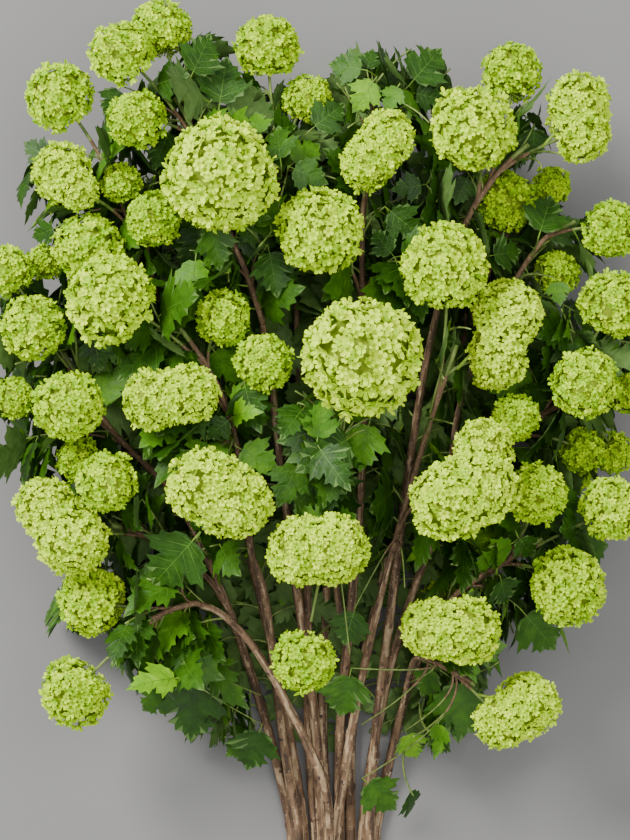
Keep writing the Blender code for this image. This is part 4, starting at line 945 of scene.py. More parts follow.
def bark_finish(name, dark, light):
    """Bark in two near browns, with fine cracks and small pale pores."""
    made = finish(name, dark, light, 330, (0.6, 0.9), (900, 0.5, 0.0006), (1, 0.3, 1))
    link = made.node_tree.links.new
    colour = made.node_tree.nodes["Principled BSDF"].inputs["Base Color"]
    ramp = colour.links[0].from_node
    place = node(made, "ShaderNodeTexCoord")
    spots = node(made, "ShaderNodeTexVoronoi", Scale=300)
    link(place.outputs["Object"], spots.inputs["Vector"])
    edge = node(made, "ShaderNodeMapRange", From_Min=0.14, From_Max=0.22, To_Min=0.5, To_Max=0.0)
    link(spots.outputs["Distance"], edge.inputs["Value"])
    pores = node(made, "ShaderNodeMix")
    pores.data_type = "RGBA"
    link(edge.outputs["Result"], pores.inputs["Factor"])
    link(ramp.outputs["Color"], pores.inputs["A"])
    pores.inputs["B"].default_value = (*linear(204, 180, 154), 1)
    link(pores.outputs["Result"], colour)
    return made


def add_object(name, data):
    """A new object in the scene."""
    made = bpy.data.objects.new(name, data)
    bpy.context.scene.collection.objects.link(made)
    return made


class Batch:
    """Shapes of one kind, gathered into one piece."""

    def __init__(self):
        self.points, self.faces, self.tints, self.count = [], [], [], 0

    def add(self, points, faces, tints=0):
        self.points.append(points)
        self.faces.append(faces + self.count)
        self.tints.append(np.broadcast_to(np.asarray(tints, int), (len(faces),)))
        self.count += len(points)

    def piece(self, name, finishes, slot, nodes, smooth=True):
        """Makes the piece, which rides on the root and stands for these nodes."""
        mesh = bpy.data.meshes.new(name)
        faces = np.concatenate(self.faces)
        points = np.concatenate(self.points)
        points[:, 2] = np.maximum(points[:, 2], FLOOR_CLEAR)
        mesh.from_pydata(points, [], faces)
        for made in finishes:
            mesh.materials.append(made)
        mesh.polygons.foreach_set("material_index", np.concatenate(self.tints).astype(np.int32))
        mesh.polygons.foreach_set("use_smooth", np.full(len(faces), smooth))
        mesh.update()
        made = add_object(name, mesh)
        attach(made, "root")
        if nodes:
            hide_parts(*nodes)


def unit(rows):
    return rows / np.maximum(np.linalg.norm(rows, axis=-1, keepdims=True), 1e-12)


def bell(rows):
    """A smooth bump: 1 at 0, and nearly 0 beyond 2."""
    return np.exp(-(rows**2))


def distances(path):
    """How far along the path each of its points lies."""
    return np.concatenate([[0], np.cumsum(np.linalg.norm(np.diff(path, axis=0), axis=1))])


def stand(path, far, place):
    """The path's point next to this distance along it, and its heading there."""
    k = min(len(path) - 2, int(np.searchsorted(far, place)))
    return Vector(path[k]), Vector(path[k + 1] - path[k]).normalized()


def copies(faces, count, size):
    """A pattern's faces for each of its copies, which have this many points each."""
    return (faces[None] + np.arange(count)[:, None, None] * size).reshape(-1, 3)


def fine_line(line, radii, step):
    """The limb's line curved between its points and set out evenly: places, radii, distances."""
    smooth = np.array([tuple(p) for p in smooth_line([Vector(p) for p in line], 8)])
    far = distances(smooth)
    at = np.linspace(0, far[-1], max(3, int(far[-1] / step) + 1))
    places = np.stack([np.interp(at, far, smooth[:, k]) for k in range(3)], axis=1)
    return places, np.interp(at, far[::8], radii), at


def frames_along(places):
    """Two directions across the line at each of its points, with no twist between points."""
    ways = unit(np.gradient(places, axis=0))
    across = np.zeros_like(ways)
    side = np.cross(ways[0], (0.0, 0.0, 1.0))
    if np.linalg.norm(side) < 0.1:
        side = np.cross(ways[0], (1.0, 0.0, 0.0))
    for k, way in enumerate(ways):
        side = unit(side - way * (side @ way))
        across[k] = side
    return across, np.cross(ways, across)


def ring_faces(rings, sides):
    """Triangles between rings of points, and which ring each one starts at."""
    k, j = (grid.ravel() for grid in np.meshgrid(range(rings - 1), range(sides), indexing="ij"))
    a, b = k * sides + j, k * sides + (j + 1) % sides
    c, d = a + sides, b + sides
    return np.concatenate([np.stack([a, b, d], 1), np.stack([a, d, c], 1)]), np.tile(k, 2)


def tube(places, radii, sides, relief=None):
    """A closed tube, with each point's radius changed by the relief: points, faces, rings."""
    across, up = frames_along(places)
    turn = 2 * math.pi * np.arange(sides) / sides
    out = np.cos(turn)[None, :, None] * across[:, None] + np.sin(turn)[None, :, None] * up[:, None]
    reach = radii[:, None] * (np.ones((len(places), sides)) if relief is None else relief)
    points = (places[:, None] + out * reach[..., None]).reshape(-1, 3)
    faces, rings = ring_faces(len(places), sides)
    ends = []
    count, last = len(points), len(points) - sides
    for j in range(sides):
        after = (j + 1) % sides
        ends += [(count, after, j), (count + 1, last + j, last + after)]
    points = np.vstack([points, places[0], places[-1]])
    rings = np.concatenate([rings, np.tile([-1, len(places)], sides)])
    return points, np.concatenate([faces, np.array(ends)]), rings


def many_tubes(paths, radii, sides):
    """Open thin tubes along many short paths, all with as many points."""
    count, steps, _ = paths.shape
    ways = unit(np.gradient(paths, axis=1))
    mean = np.abs(ways.mean(1))
    guide = np.eye(3)[mean.argmin(1)]
    across = unit(np.cross(ways, guide[:, None]))
    up = np.cross(ways, across)
    turn = 2 * math.pi * np.arange(sides) / sides
    out = (np.cos(turn)[:, None] * across[:, :, None] + np.sin(turn)[:, None] * up[:, :, None])
    points = paths[:, :, None] + out * np.broadcast_to(radii, (count, steps))[..., None, None]
    return points.reshape(-1, 3), copies(ring_faces(steps, sides)[0], count, steps * sides)


def bark_relief(at, sides, rng, swell):
    """How a limb's radius differs round it and along it, and where its nodes are."""
    turn = 2 * math.pi * np.arange(sides) / sides
    relief = np.ones((len(at), sides))
    for ridges, depth in RIDGES:
        drift = np.interp(at, np.linspace(0, at[-1], 9), rng.normal(0, RIDGE_DRIFT, 9).cumsum())
        relief += depth * np.sin(ridges * turn[None] + drift[:, None])
    relief += rng.normal(0, UNEVEN, relief.shape)
    relief += np.interp(at, np.linspace(0, at[-1], 15), rng.normal(0, SWELLING, 15))[:, None]
    buds = np.zeros(relief.shape)
    place, spin = rng.uniform(0.012, 0.04), rng.uniform(0, math.pi)
    while place < at[-1] - 0.004:
        near = at - place
        relief += swell * NODE_SWELL * bell(near / NODE_REACH)[:, None]
        for side in (spin, spin + math.pi):
            apart = np.abs((turn - side + math.pi) % (2 * math.pi) - math.pi)
            lump = bell(apart / BUD_WIDTH)[None] * bell((near - 0.002) / BUD_REACH)[:, None]
            relief += swell * BUD_SWELL * lump
            buds = np.maximum(buds, lump)
        spin += math.pi / 2
        place += rng.uniform(*NODE_SPACING)
    return relief, buds


def make_bark(name, limb, finishes, seed):
    """One stem or bough as a mesh with the bark's relief."""
    rng = np.random.default_rng(seed)
    places, radii, at = fine_line(*limb, RING_STEP)
    is_stem = name.startswith("stem_")
    sides = BARK_SIDES if is_stem else BARK_SIDES - 4
    relief, buds = bark_relief(at, sides, rng, 0.8 if is_stem else 1.0)
    points, faces, rings = tube(places, radii, sides, relief * BARK_SHARE)
    bands = max(4, int(at[-1] / STREAK_LENGTH))
    spread = rng.normal(0, 1, (bands, sides))
    spread = (spread + 0.5 * np.roll(spread, 1, axis=1)) / math.sqrt(1.25)
    along = np.linspace(0, at[-1], bands)
    streaks = np.stack([np.interp(at, along, column) for column in spread.T], axis=1).ravel()
    tints = np.full(len(faces), PLAIN)
    wall = faces.max(1) < buds.size
    level = streaks[faces[wall].min(1)]
    tints[wall] = np.where(level > STREAK_EDGE, PALE, np.where(level < -STREAK_EDGE, DEEP, PLAIN))
    tints[wall] = np.where(buds.ravel()[faces[wall]].min(1) > BUD_EDGE, SCAR, tints[wall])
    tints[rings == -1] = CUT
    bark = Batch()
    bark.add(points, faces, tints)
    bark.piece("bark_" + name, finishes, "bark", [name])


# A blade's right half, from its base round to its tip, in units of its length, and
# where on the midrib each of those points is joined. The teeth are where veins end.
HALF_OUTLINE = (
    (0.0, 0.0), (0.13, -0.03), (0.29, 0.04), (0.31, 0.12), (0.45, 0.18), (0.43, 0.27), (0.61, 0.46),
    (0.46, 0.44), (0.41, 0.54), (0.23, 0.47), (0.27, 0.57), (0.38, 0.67), (0.26, 0.70), (0.25, 0.82),
    (0.14, 0.82), (0.09, 0.92), (0.0, 1.03),
)
MIDRIB = (0.0, 0.005, 0.02, 0.04, 0.06, 0.08, 0.10, 0.16, 0.24, 0.32, 0.38, 0.46, 0.54, 0.62, 0.72, 0.84,
          1.03)
TEETH = (2, 4, 6, 8, 11, 13, 15)
SIDE_LOBE = 6


def edge_rise(k):
    """How far the edge stands up at one of the outline's points."""
    return -0.010 if k in TEETH else 0.004


def leaf_pattern():
    """A leaf's points in units of its blade, as (across, along, rise), and its faces."""
    count = len(HALF_OUTLINE)
    points, faces = [(0.0, along, 0.0) for along in MIDRIB], []
    for side in (1, -1):
        inner, outer = [0], [0]
        for k in range(1, count - 1):
            (x, y), along = HALF_OUTLINE[k], MIDRIB[k]
            inner.append(len(points))
            points.append((side * x * 0.55, along + (y - along) * 0.55, -0.014 if k in TEETH else 0.020))
            outer.append(len(points))
            points.append((side * x, y, edge_rise(k)))
        inner.append(count - 1)
        outer.append(count - 1)
        for k in range(count - 1):
            for a, b, c in ((k, inner[k], inner[k + 1]), (k, inner[k + 1], k + 1),
                            (inner[k], outer[k], outer[k + 1]),
                            (inner[k], outer[k + 1], inner[k + 1])):
                if len({a, b, c}) == 3:
                    faces.append((a, b, c) if side > 0 else (a, c, b))
    return np.array(points), np.array(faces)


LEAF_POINTS, LEAF_FACES = leaf_pattern()


def leaf_underside():
    """The pattern's underside, with fewer faces: the same edge, and a midrib a little lower."""
    count = len(HALF_OUTLINE)
    points = [(0.0, along, -0.012 if 0 < k < count - 1 else 0.0) for k, along in enumerate(MIDRIB)]
    faces = []
    for side in (1, -1):
        rim = [0]
        for k in range(1, count - 1):
            x, y = HALF_OUTLINE[k]
            rim.append(len(points))
            points.append((side * x, y, edge_rise(k)))
        rim.append(count - 1)
        for k in range(count - 1):
            for a, b, c in ((k, rim[k], rim[k + 1]), (k, rim[k + 1], k + 1)):
                if len({a, b, c}) == 3:
                    faces.append((a, c, b) if side > 0 else (a, b, c))
    return np.array(points), np.array(faces)


UNDER_POINTS, UNDER_FACES = leaf_underside()


def vein_pattern():
    """The raised veins: the midrib and one strip to each tooth, a little above the blade."""
    points, faces = [], []

    def strip(stations):
        for x, y, rise, side_x, side_y in stations:
            points.append((x - side_x, y - side_y, rise + 0.006))
            points.append((x + side_x, y + side_y, rise + 0.006))
        first = len(points) - 2 * len(stations)
        for k in range(len(stations) - 1):
            a = first + 2 * k
            faces.extend([(a, a + 1, a + 3), (a, a + 3, a + 2)])

    strip([(0.0, y, 0.0, w, 0.0) for y, w in
           ((-0.02, 0.011), (0.1, 0.010), (0.25, 0.008), (0.45, 0.0065), (0.7, 0.005), (0.97, 0.002))])
    for side in (1, -1):
        for k in TEETH:
            (x, y), along = HALF_OUTLINE[k], MIDRIB[k]
            main = k == SIDE_LOBE
            way = unit(np.array([side * x, y - along]))
            stations = [(0.0, 0.0), (0.55, -0.020), (0.90, -0.012)]
            widths = (0.008, 0.0055, 0.002) if main else (0.0048, 0.0034, 0.0014)
            strip([(side * x * share, along + (y - along) * share, rise, way[1] * w, -way[0] * w)
                   for (share, rise), w in zip(stations, widths)])
    return np.array(points), np.array(faces)


VEIN_POINTS, VEIN_FACES = vein_pattern()
LEAF_TEST = np.vstack([LEAF_POINTS, LEAF_POINTS[LEAF_FACES].mean(1)])


class Leaves:
    """Leaves with their bends, kept as rows so that all are shaped at once."""

    def __init__(self, rng):
        self.rng = rng
        self.turns, self.places, self.shapes = [], [], []

    def draw_shape(self, length, gentle):
        """Length, width, fold, droop of its sides, droop of its tip, and two for its waves."""
        draw = self.rng.uniform
        if gentle:
            return [length, draw(0.92, 1.05), draw(0.08, 0.24), draw(0.0, 0.2), draw(0.06, 0.18),
                    draw(0, 0.06), draw(0, 6)]
        return [length, draw(0.82, 1.08), draw(0.05, 0.42), draw(0.0, 0.5), draw(0.04, 0.42),
                draw(0, 0.12), draw(0, 6)]

    def add(self, matrix, shape):
        self.turns.append(np.array(matrix.to_3x3()))
        self.places.append(np.array(matrix.translation))
        self.shapes.append(shape)


def laid(pattern, turns, places, shapes):
    """Where a pattern's points lie on each leaf: an array of leaves by points by 3."""
    length, width, fold, sides, droop, wave, phase = (column[:, None] for column in shapes.T)
    x, y, rise = pattern.T
    x = x[None] * width
    y = np.broadcast_to(y[None], x.shape)
    z = rise + fold * np.abs(x) - sides * x**2 - droop * y * np.abs(y)
    z = z + wave * np.sin(WAVES * y + phase) * x
    blade = 1 - STALK_SHARE
    local = np.stack([x * blade, STALK_SHARE + y * blade, z * blade], axis=-1) * length[..., None]
    return local @ turns.transpose(0, 2, 1) + places[:, None]


class Room:
    """Which small cells of the crown's space are taken, and what shows from above."""

    def __init__(self, low, high, shown):
        self.shown = shown
        self.low = np.array(low) - 0.02
        self.cells = np.zeros(((np.array(high) + 0.02 - self.low) / CELL).astype(int) + 1, bool)

    def rows(self, points):
        cells = ((points - self.low) / CELL).astype(int)
        return tuple(np.clip(cells, 0, np.array(self.cells.shape) - 1).T)

    def fill(self, points):
        self.cells[self.rows(points)] = True

    def fill_balls(self, beads):
        for *middle, radius in beads:
            steps = np.arange(-radius, radius + CELL, CELL * 0.9)
            grid = np.stack(np.meshgrid(steps, steps, steps), -1).reshape(-1, 3)
            self.fill(grid[np.linalg.norm(grid, axis=1) <= radius] + np.array(middle))

    def admits(self, points, box, most):
        """Whether a shape keeps to its box, has room here and hides nothing that shows."""
        if (points < box[0]).any() or (points > box[1]).any():
            return False
        if self.shown.share_over(points) > FINE_OVER:
            return False
        return self.cells[self.rows(points)].mean() <= most


def bent(start, knee, goal):
    """A smooth run of points from start to goal that bends at the knee."""
    steps = max(4, int((goal - start).length / TWIG_STEP))
    t = np.linspace(0, 1, steps + 1)[:, None]
    return curved(np.array(start), np.array(knee), np.array(goal), t)


def curve_of(twig):
    """A twig of three points as a smooth run of points through its ends."""
    start, middle, goal = twig
    return bent(start, middle * 2 - (start + goal) * 0.5, goal)


def floret_pattern(rim, tip):
    """Five broad round petals about a throat, in units of the floret's radius."""
    points, faces = [(0.0, 0.0, 0.0)], []

    def add(reach, turn, rise):
        turn = math.radians(turn)
        points.append((reach * math.cos(turn), reach * math.sin(turn), rise))
        return len(points) - 1

    notches = [add(0.42, 72 * k + 36, 0.22) for k in range(5)]
    faces += [(0, notches[k - 1], notches[k]) for k in range(5)]
    for k in range(5):
        before, after = notches[k - 1], notches[k]
        corners = ((0.78, -29, rim), (1.0, -12, tip), (1.0, 12, tip), (0.78, 29, rim))
        edge = [add(reach, 72 * k + turn, rise) for reach, turn, rise in corners]
        faces += [(before, edge[0], edge[1]), (before, edge[1], after), (edge[1], edge[2], after),
                  (edge[2], edge[3], after)]
    return np.array(points), np.array(faces)


FLORETS = [floret_pattern(0.54, 0.60), floret_pattern(0.42, 0.34), floret_pattern(0.66, 0.78)]
FLORET_FACES = FLORETS[0][1]
# A floret's first five faces are its throat, coloured greener and darker: painted shade inside the cup.
SHADED_THROAT_FACES = 5


def ball_points(count, rng):
    """Directions spread evenly over a ball, each moved a little."""
    k = np.arange(count) + 0.5
    height = 1 - 2 * k / count
    turn = GOLDEN * k + rng.uniform(0, 6)
    ring = np.sqrt(1 - height**2)
    rows = np.stack([ring * np.cos(turn), ring * np.sin(turn), height], axis=1)
    spin = np.array(Matrix.Rotation(rng.uniform(0, 6), 3, Vector(rng.normal(size=3)).normalized()))
    return unit(rows @ spin.T + rng.normal(0, SPREAD / math.sqrt(count), rows.shape))


class HeadShape:
    """A head's outer surface: its lobes run into one another, with low lumps all over."""

    def __init__(self, lobes, rng):
        self.middles = np.array([tuple(lobe.middle) for lobe in lobes])
        self.radii = np.array([lobe.radius for lobe in lobes])
        self.soft = self.radii.min() * BLEND_SHARE if len(lobes) > 1 else 1e-4
        self.lumps = unit(rng.normal(size=(LUMPS, 3)))
        self.heights = rng.uniform(-LUMP_SHARE, LUMP_SHARE, LUMPS)
        self.centre = self.middles.mean(0)

    def outside(self, points):
        """How far outside the surface each point lies, and the way out."""
        away = points[:, None] - self.middles
        far = np.linalg.norm(away, axis=2)
        apart = far - self.radii
        weights = np.exp(-(apart - apart.min(1, keepdims=True)) / self.soft)
        total = weights.sum(1, keepdims=True)
        joined_up = apart.min(1) - self.soft * np.log(total[:, 0])
        out = unit((away / far[..., None] * (weights / total)[..., None]).sum(1))
        bearing = unit(points - self.centre)
        lump = (np.exp((bearing @ self.lumps.T - 1) * LUMP_WIDTH) * self.heights).sum(1)
        return joined_up - lump * self.radii.mean(), out

    def settle(self, points, depth):
        """Moves the points along the way out until they lie this deep under the surface."""
        for _ in range(4):
            far, out = self.outside(points)
            points = points - out * (far + depth)[:, None]
        return points, self.outside(points)[1]


def florets_of(lobe, shape, others, stalk, paleness, rng):
    """The florets of one lobe: points, faces and tints."""
    radius = lobe.radius
    width = FLORET_BASE + FLORET_SHARE * 2 * radius
    count = int(4 * (radius / (width / 2)) ** 2 * FLORET_COVER)
    out = ball_points(count, rng)
    keep = out @ stalk < BARE_CONE
    places = np.array(lobe.middle) + out * radius
    for other in others:
        off = np.linalg.norm(places - np.array(other.middle), axis=1) / other.radius
        keep &= off > SUNK_SHARE
        keep &= (off > SINKING_SHARE) | (rng.uniform(size=count) < 0.5)
    out, places = out[keep], places[keep]
    count = len(out)
    places, out = shape.settle(places, width * rng.uniform(*FLORET_DEPTH, count))
    face = unit(out + rng.normal(0, FLORET_TILT, out.shape))
    side = unit(np.cross(face, rng.normal(size=out.shape)))
    turns = np.stack([side, np.cross(face, side), face], axis=2)
    patterns = np.array([points for points, _ in FLORETS])[rng.integers(0, len(FLORETS), count)]
    patterns = patterns + rng.normal(0, 1, patterns.shape) * np.array([0.03, 0.03, 0.05])
    patterns[:, 6:, 2] += np.repeat(rng.normal(0, PETAL_TILT, (count, 5)), 4, axis=1)
    patterns = patterns * (width / 2 * rng.uniform(*FLORET_SIZES, (count, 1, 1)))
    patterns[..., 2] *= rng.uniform(0.5, 1.5, (count, 1))
    points = patterns @ turns.transpose(0, 2, 1) + places[:, None]
    tint = np.clip(np.round(rng.normal(paleness, 0.7, count)), 0, 3).astype(int)
    tints = np.repeat(tint[:, None], len(FLORET_FACES), 1)
    # The throat faces take the throat colours: the floret's greener middle, darkened as painted shade in
    # the cup.
    tints[:, :SHADED_THROAT_FACES] = np.where(tint[:, None] > 1, 5, 4)
    return points.reshape(-1, 3), copies(FLORET_FACES, count, patterns.shape[1]), tints.reshape(-1)


def core_pattern():
    """A ball of few faces."""
    shape = bmesh.new()
    bmesh.ops.create_icosphere(shape, subdivisions=2, radius=1)
    shape.verts.ensure_lookup_table()
    points = np.array([tuple(v.co) for v in shape.verts])
    faces = np.array([[v.index for v in f.verts] for f in shape.faces])
    shape.free()
    return points, faces


CORE_POINTS, CORE_FACES = core_pattern()


def make_head(head, twig, florets, shaded_cores, stalks, rng):
    """A head's florets, the green ball behind them, darker with painted shade, and the rays that carry
    them.
    """
    green, wider = PALE_WIDTHS
    paleness = 0.3 + 2.5 * min(1.0, max(0.0, (width_of(head.lobes) - green) / wider))
    paleness += rng.normal(0, 0.25)
    shape = HeadShape(head.lobes, rng)
    foot = np.array(along_line(twig, max(0.0, bare_length(head.lobes, twig) - 0.006))[0])
    for lobe in head.lobes:
        middle = np.array(lobe.middle)
        stalk = unit(foot - middle)
        others = [other for other in head.lobes if other is not lobe]
        florets.add(*florets_of(lobe, shape, others, stalk, paleness, rng))
        # The ball behind the florets stands for the inner florets; its darker green is painted shade in
        # the gaps between florets.
        hollow = 1 - 0.22 * np.clip((CORE_POINTS @ stalk - 0.6) / 0.4, 0, 1)[:, None]
        lumps = hollow * (CORE_SHARE + rng.normal(0, 0.03, (len(CORE_POINTS), 1)))
        shaded_cores.add(middle + CORE_POINTS * lobe.radius * lumps, CORE_FACES)
        side = unit(np.cross(stalk, (0.3, 0.5, 0.8)))
        up = np.cross(stalk, side)
        turn = 2 * math.pi * (np.arange(RAYS) + rng.uniform(-0.3, 0.3, RAYS)) / RAYS
        lean = np.radians(rng.uniform(*RAY_LEAN, RAYS))[:, None]
        flare = np.cos(turn)[:, None] * side + np.sin(turn)[:, None] * up
        ends = middle + (stalk * np.cos(lean) + flare * np.sin(lean)) * lobe.radius * 0.92
        start = middle + stalk * lobe.radius * 0.62
        bend = (start + ends) / 2 + stalk * lobe.radius * 0.05
        t = np.linspace(0, 1, 4)[None, :, None]
        paths = curved(start, bend[:, None], ends[:, None], t)
        stalks.add(*many_tubes(paths, np.full((RAYS, 4), RAY_RADIUS), 4))
        goal = middle + stalk * lobe.radius * 0.55
        if (Vector(middle) - head.goal).length > 1e-6:
            path = np.linspace(foot, goal, 5)
            points, faces, _ = tube(path, np.linspace(0.0013, 0.0010, 5), 6)
            stalks.add(points, faces)


def make_twigs(axes, twigs, fine, finishes):
    """The masses' own stems and their twigs, brown where they are old and green where young."""
    rng = np.random.default_rng(SEED + 40)
    batch = Batch()
    for axis in axes.values():
        places, radii, at = fine_line(*axis, AXIS_STEP)
        relief, _ = bark_relief(at, AXIS_SIDES, rng, 1.0)
        points, faces, rings = tube(places, radii * 0.97, AXIS_SIDES, relief)
        tints = np.where(rings >= len(at) * AXIS_BROWN, YOUNG, PLAIN)
        batch.add(points, faces, tints)
    for mass in twigs:
        for head, twig in twigs[mass]:
            path = curve_of(twig)
            length = arc_lengths(twig)[-1]
            end = bare_length(head.lobes, twig) / length if head.lobes else 1.0
            path = path[: max(4, int(math.ceil(end * (len(path) - 1))) + 2)]
            share = np.linspace(0, 1, len(path))
            swell = 1 + 0.22 * bell((share - TWIG_BROWN) / 0.03)
            thick = (HEAD_TWIG if head.lobes else LEAF_TWIG) - TWIG_THINNING * share
            points, faces, rings = tube(path, thick * swell, TWIG_SIDES)
            brown = TWIG_BROWN if length > SHORT_TWIG else -1
            tints = np.where(rings < brown * (len(path) - 1), PLAIN, YOUNG)
            batch.add(points, faces, tints)
    for path in fine:
        share = np.linspace(0, 1, len(path))
        points, faces, _ = tube(path, SHOOT_RADIUS * (1.15 - 0.4 * share), 4)
        batch.add(points, faces, YOUNG)
    batch.piece("twigs", finishes, "bark", [])


def grow_fine_pair(root, heading, spin, length, tries, leaves, room, box):
    """A pair of fine leaves, each where its points are in free space."""
    rng = leaves.rng
    across = heading.orthogonal().normalized()
    for side in (0.0, math.pi):
        size = length * rng.uniform(0.85, 1.15)
        shape = leaves.draw_shape(size, False)
        for _ in range(tries):
            out = Matrix.Rotation(spin + side + rng.normal(0, 0.5), 3, heading) @ across
            pitch = rng.uniform(-0.2, 1.1)
            droop = rng.uniform(0.4, 1.5)
            way = out * math.cos(pitch) + heading * math.sin(pitch) + Vector((0, -droop, 0))
            up = crown_outward(root) + out * 0.3 + Vector(rng.normal(0, 0.22, 3)) + Vector((0, 0, 0.3))
            matrix = leaf_frame(root, way, up)
            row = np.array([shape])
            points = laid(LEAF_TEST, np.array(matrix.to_3x3())[None],
                          np.array(matrix.translation)[None], row)[0]
            if room.admits(points, box, MOST_TAKEN):
                room.fill(points)
                leaves.add(matrix, shape)
                break


def mass_box(name):
    """The box that a mass's fine leaves keep to."""
    (low, high), (lowest, highest) = np.array(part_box("foliage_" + name)), np.array(CAD_BOUNDS)
    low = np.maximum(low - BOX_SLACK, lowest - CROWN_SLACK)
    high = np.minimum(high + BOX_SLACK, highest + CROWN_SLACK)
    low[2] = max(low[2], LOWEST_LEAF)
    return low, high


def side_shoot(root, heading, length, room, box, rng):
    """A thin green shoot that leaves its twig where there is room, or None."""
    across = heading.orthogonal().normalized()
    for _ in range(SHOOT_TRIES):
        out = Matrix.Rotation(rng.uniform(0, 2 * math.pi), 3, heading) @ across
        out = (out + crown_outward(root) * rng.uniform(0.0, 0.7)).normalized()
        goal = root + (out + heading * rng.uniform(0.1, 0.9)).normalized() * length
        path = bent(root, knee_of(root, (heading + out * 0.5).normalized(), goal), goal)
        if room.admits(path[2:], box, SHOOT_TAKEN):
            room.fill(path[2:])
            return path
    return None


def leaf_row(path, first, spacing, lengths, tries, leaves, room, box):
    """Pairs of leaves along a path, each pair a quarter turn from the last."""
    rng = leaves.rng
    far = distances(path)
    place, spin = rng.uniform(*first), rng.uniform(0, math.pi)
    while place < far[-1] + 0.002:
        root, heading = stand(path, far, place)
        grow_fine_pair(root, heading, spin, rng.uniform(*lengths), tries, leaves, room, box)
        spin += math.pi / 2
        place += rng.uniform(*spacing)
    root, heading = Vector(path[-1]), Vector(path[-1] - path[-2]).normalized()
    return root, heading, spin


def grow_stem_shoots(limbs, leaves, room):
    """Leafy side shoots low on the stems, thickest on the side that the bunch lies on."""
    rng = leaves.rng
    box = np.array(CAD_BOUNDS)
    box[0, 2] = LOWEST_LEAF
    shoots = []
    lowest, highest = STEM_SHOOTS_ALONG
    for line, radii in limbs.values():
        path, _, at = fine_line(line, radii, RING_STEP)
        place = rng.uniform(0.005, 0.02)
        while place < at[-1]:
            root, heading = stand(path, at, place)
            place += rng.uniform(*STEM_SHOOT_SPACING)
            if not lowest < root.y < highest:
                continue
            length = rng.uniform(*STEM_SHOOT_LENGTH)
            shoot = side_shoot(root, heading, length, room, box, rng)
            if shoot is not None:
                shoots.append(shoot)
                root, heading, spin = leaf_row(shoot, (0.010, 0.016), (0.010, 0.016), STEM_LEAF_LENGTH,
                                               STEM_TRIES, leaves, room, box)
                grow_fine_pair(root, heading, spin, rng.uniform(0.026, 0.048), STEM_TRIES, leaves,
                               room, box)
    return shoots


def grow_fine(axes, twigs, leaves, room):
    """Pairs of leaves and leafy side shoots along every mass's stem and twigs."""
    rng = leaves.rng
    shoots = []
    for mass, axis in axes.items():
        box = mass_box(mass)
        lines = [(fine_line(*axis, RING_STEP * 1.4)[0], AXIS_SHOOTS)]
        for head, twig in twigs[mass]:
            path = curve_of(twig)
            reach = twig_end(head, twig) / arc_lengths(twig)[-1]
            lines.append((path[: max(2, int(reach * len(path)))], TWIG_SHOOTS))
        for path, chance in list(lines):
            far = distances(path)
            place = rng.uniform(0.006, 0.014)
            while place < far[-1] - 0.004:
                root, heading = stand(path, far, place)
                if rng.uniform() < chance:
                    shoot = side_shoot(root, heading, rng.uniform(*SHOOT_LENGTH), room, box, rng)
                    if shoot is not None:
                        shoots.append(shoot)
                        lines.append((shoot, 0.0))
                place += rng.uniform(*SHOOT_SPACING)
        for number, (path, _) in enumerate(lines):
            root, heading, spin = leaf_row(path, (0.006, 0.014), FINE_SPACING, FINE_LENGTH, FINE_TRIES,
                                           leaves, room, box)
            if number > 0:
                grow_fine_pair(root, heading, spin, rng.uniform(*FINE_LENGTH), FINE_TRIES + 2, leaves,
                               room, box)
    return shoots


def make_leaves(leaves, finishes, under, vein, stalk_finish, masses):
    """All leaves as joined pieces: upper and under sides, raised veins and leaf stalks."""
    turns, places = np.array(leaves.turns), np.array(leaves.places)
    shapes = np.array(leaves.shapes)
    rng = np.random.default_rng(SEED + 60)
    tints = rng.choice(len(finishes), len(shapes), p=TINT_SHARES)
    nodes = ["foliage_" + name for name in masses]
    order = np.argsort(places[:, 0])
    parts = np.array_split(order, max(1, math.ceil(len(order) * len(LEAF_FACES) * 2 / PIECE_FACES)))
    for number, part in enumerate(parts, 1):
        batch = Batch()
        for pattern, faces, below in ((LEAF_POINTS, LEAF_FACES, False), (UNDER_POINTS, UNDER_FACES, True)):
            points = laid(pattern, turns[part], places[part], shapes[part])
            tint = np.full(len(part), len(finishes)) if below else tints[part]
            batch.add(points.reshape(-1, 3), copies(faces, len(part), len(pattern)),
                      np.repeat(tint, len(faces)))
        batch.piece(f"leaves_{number}", [*finishes, under], "foliage", nodes)
    batch = Batch()
    high = places[:, 2] > VEINS_ABOVE
    points = laid(VEIN_POINTS, turns[high], places[high], shapes[high])
    batch.add(points.reshape(-1, 3), copies(VEIN_FACES, high.sum(), len(VEIN_POINTS)))
    batch.piece("leaf_veins", [vein], "foliage", [])
    along = np.linspace(0, 1, 4)
    stalk = np.stack([0 * along, along * STALK_SHARE * 1.04, 0.03 * along * (1 - along)], 1)
    paths = (stalk[None] * shapes[:, :1, None]) @ turns.transpose(0, 2, 1) + places[:, None]
    radii = (STALK_RADIUS - 0.0003 * along)[None] * (shapes[:, :1] / 0.05)
    batch = Batch()
    batch.add(*many_tubes(paths, radii, 3))
    batch.piece("leaf_stalks", [stalk_finish], "foliage", [])


def make_floor():
    """A wide plain floor, just under what lies on it."""
    mesh = bpy.data.meshes.new("floor")
    corners = ((-1, -1), (1, -1), (1, 1), (-1, 1))
    mesh.from_pydata([(x * FLOOR_HALF, y * FLOOR_HALF, FLOOR_HEIGHT) for x, y in corners], [],
                     [(0, 1, 2, 3)])
    floor = add_object("floor", mesh)
    mesh.materials.append(finish("floor", (128, 127, 126), (133, 132, 131), 2.0, (0.85, 0.95),
                                 (120, 0.02, 0.0002)))


def area_light(name, place, goal, size, power, colour):
    """A round light at this place that faces its goal."""
    data = bpy.data.lights.new(name, "AREA")
    data.shape = "DISK"
    data.size = size
    data.energy = power
    data.color = colour
    light = add_object(name, data)
    light.location = place
    light.rotation_euler = (Vector(goal) - Vector(place)).to_track_quat("-Z", "Y").to_euler()


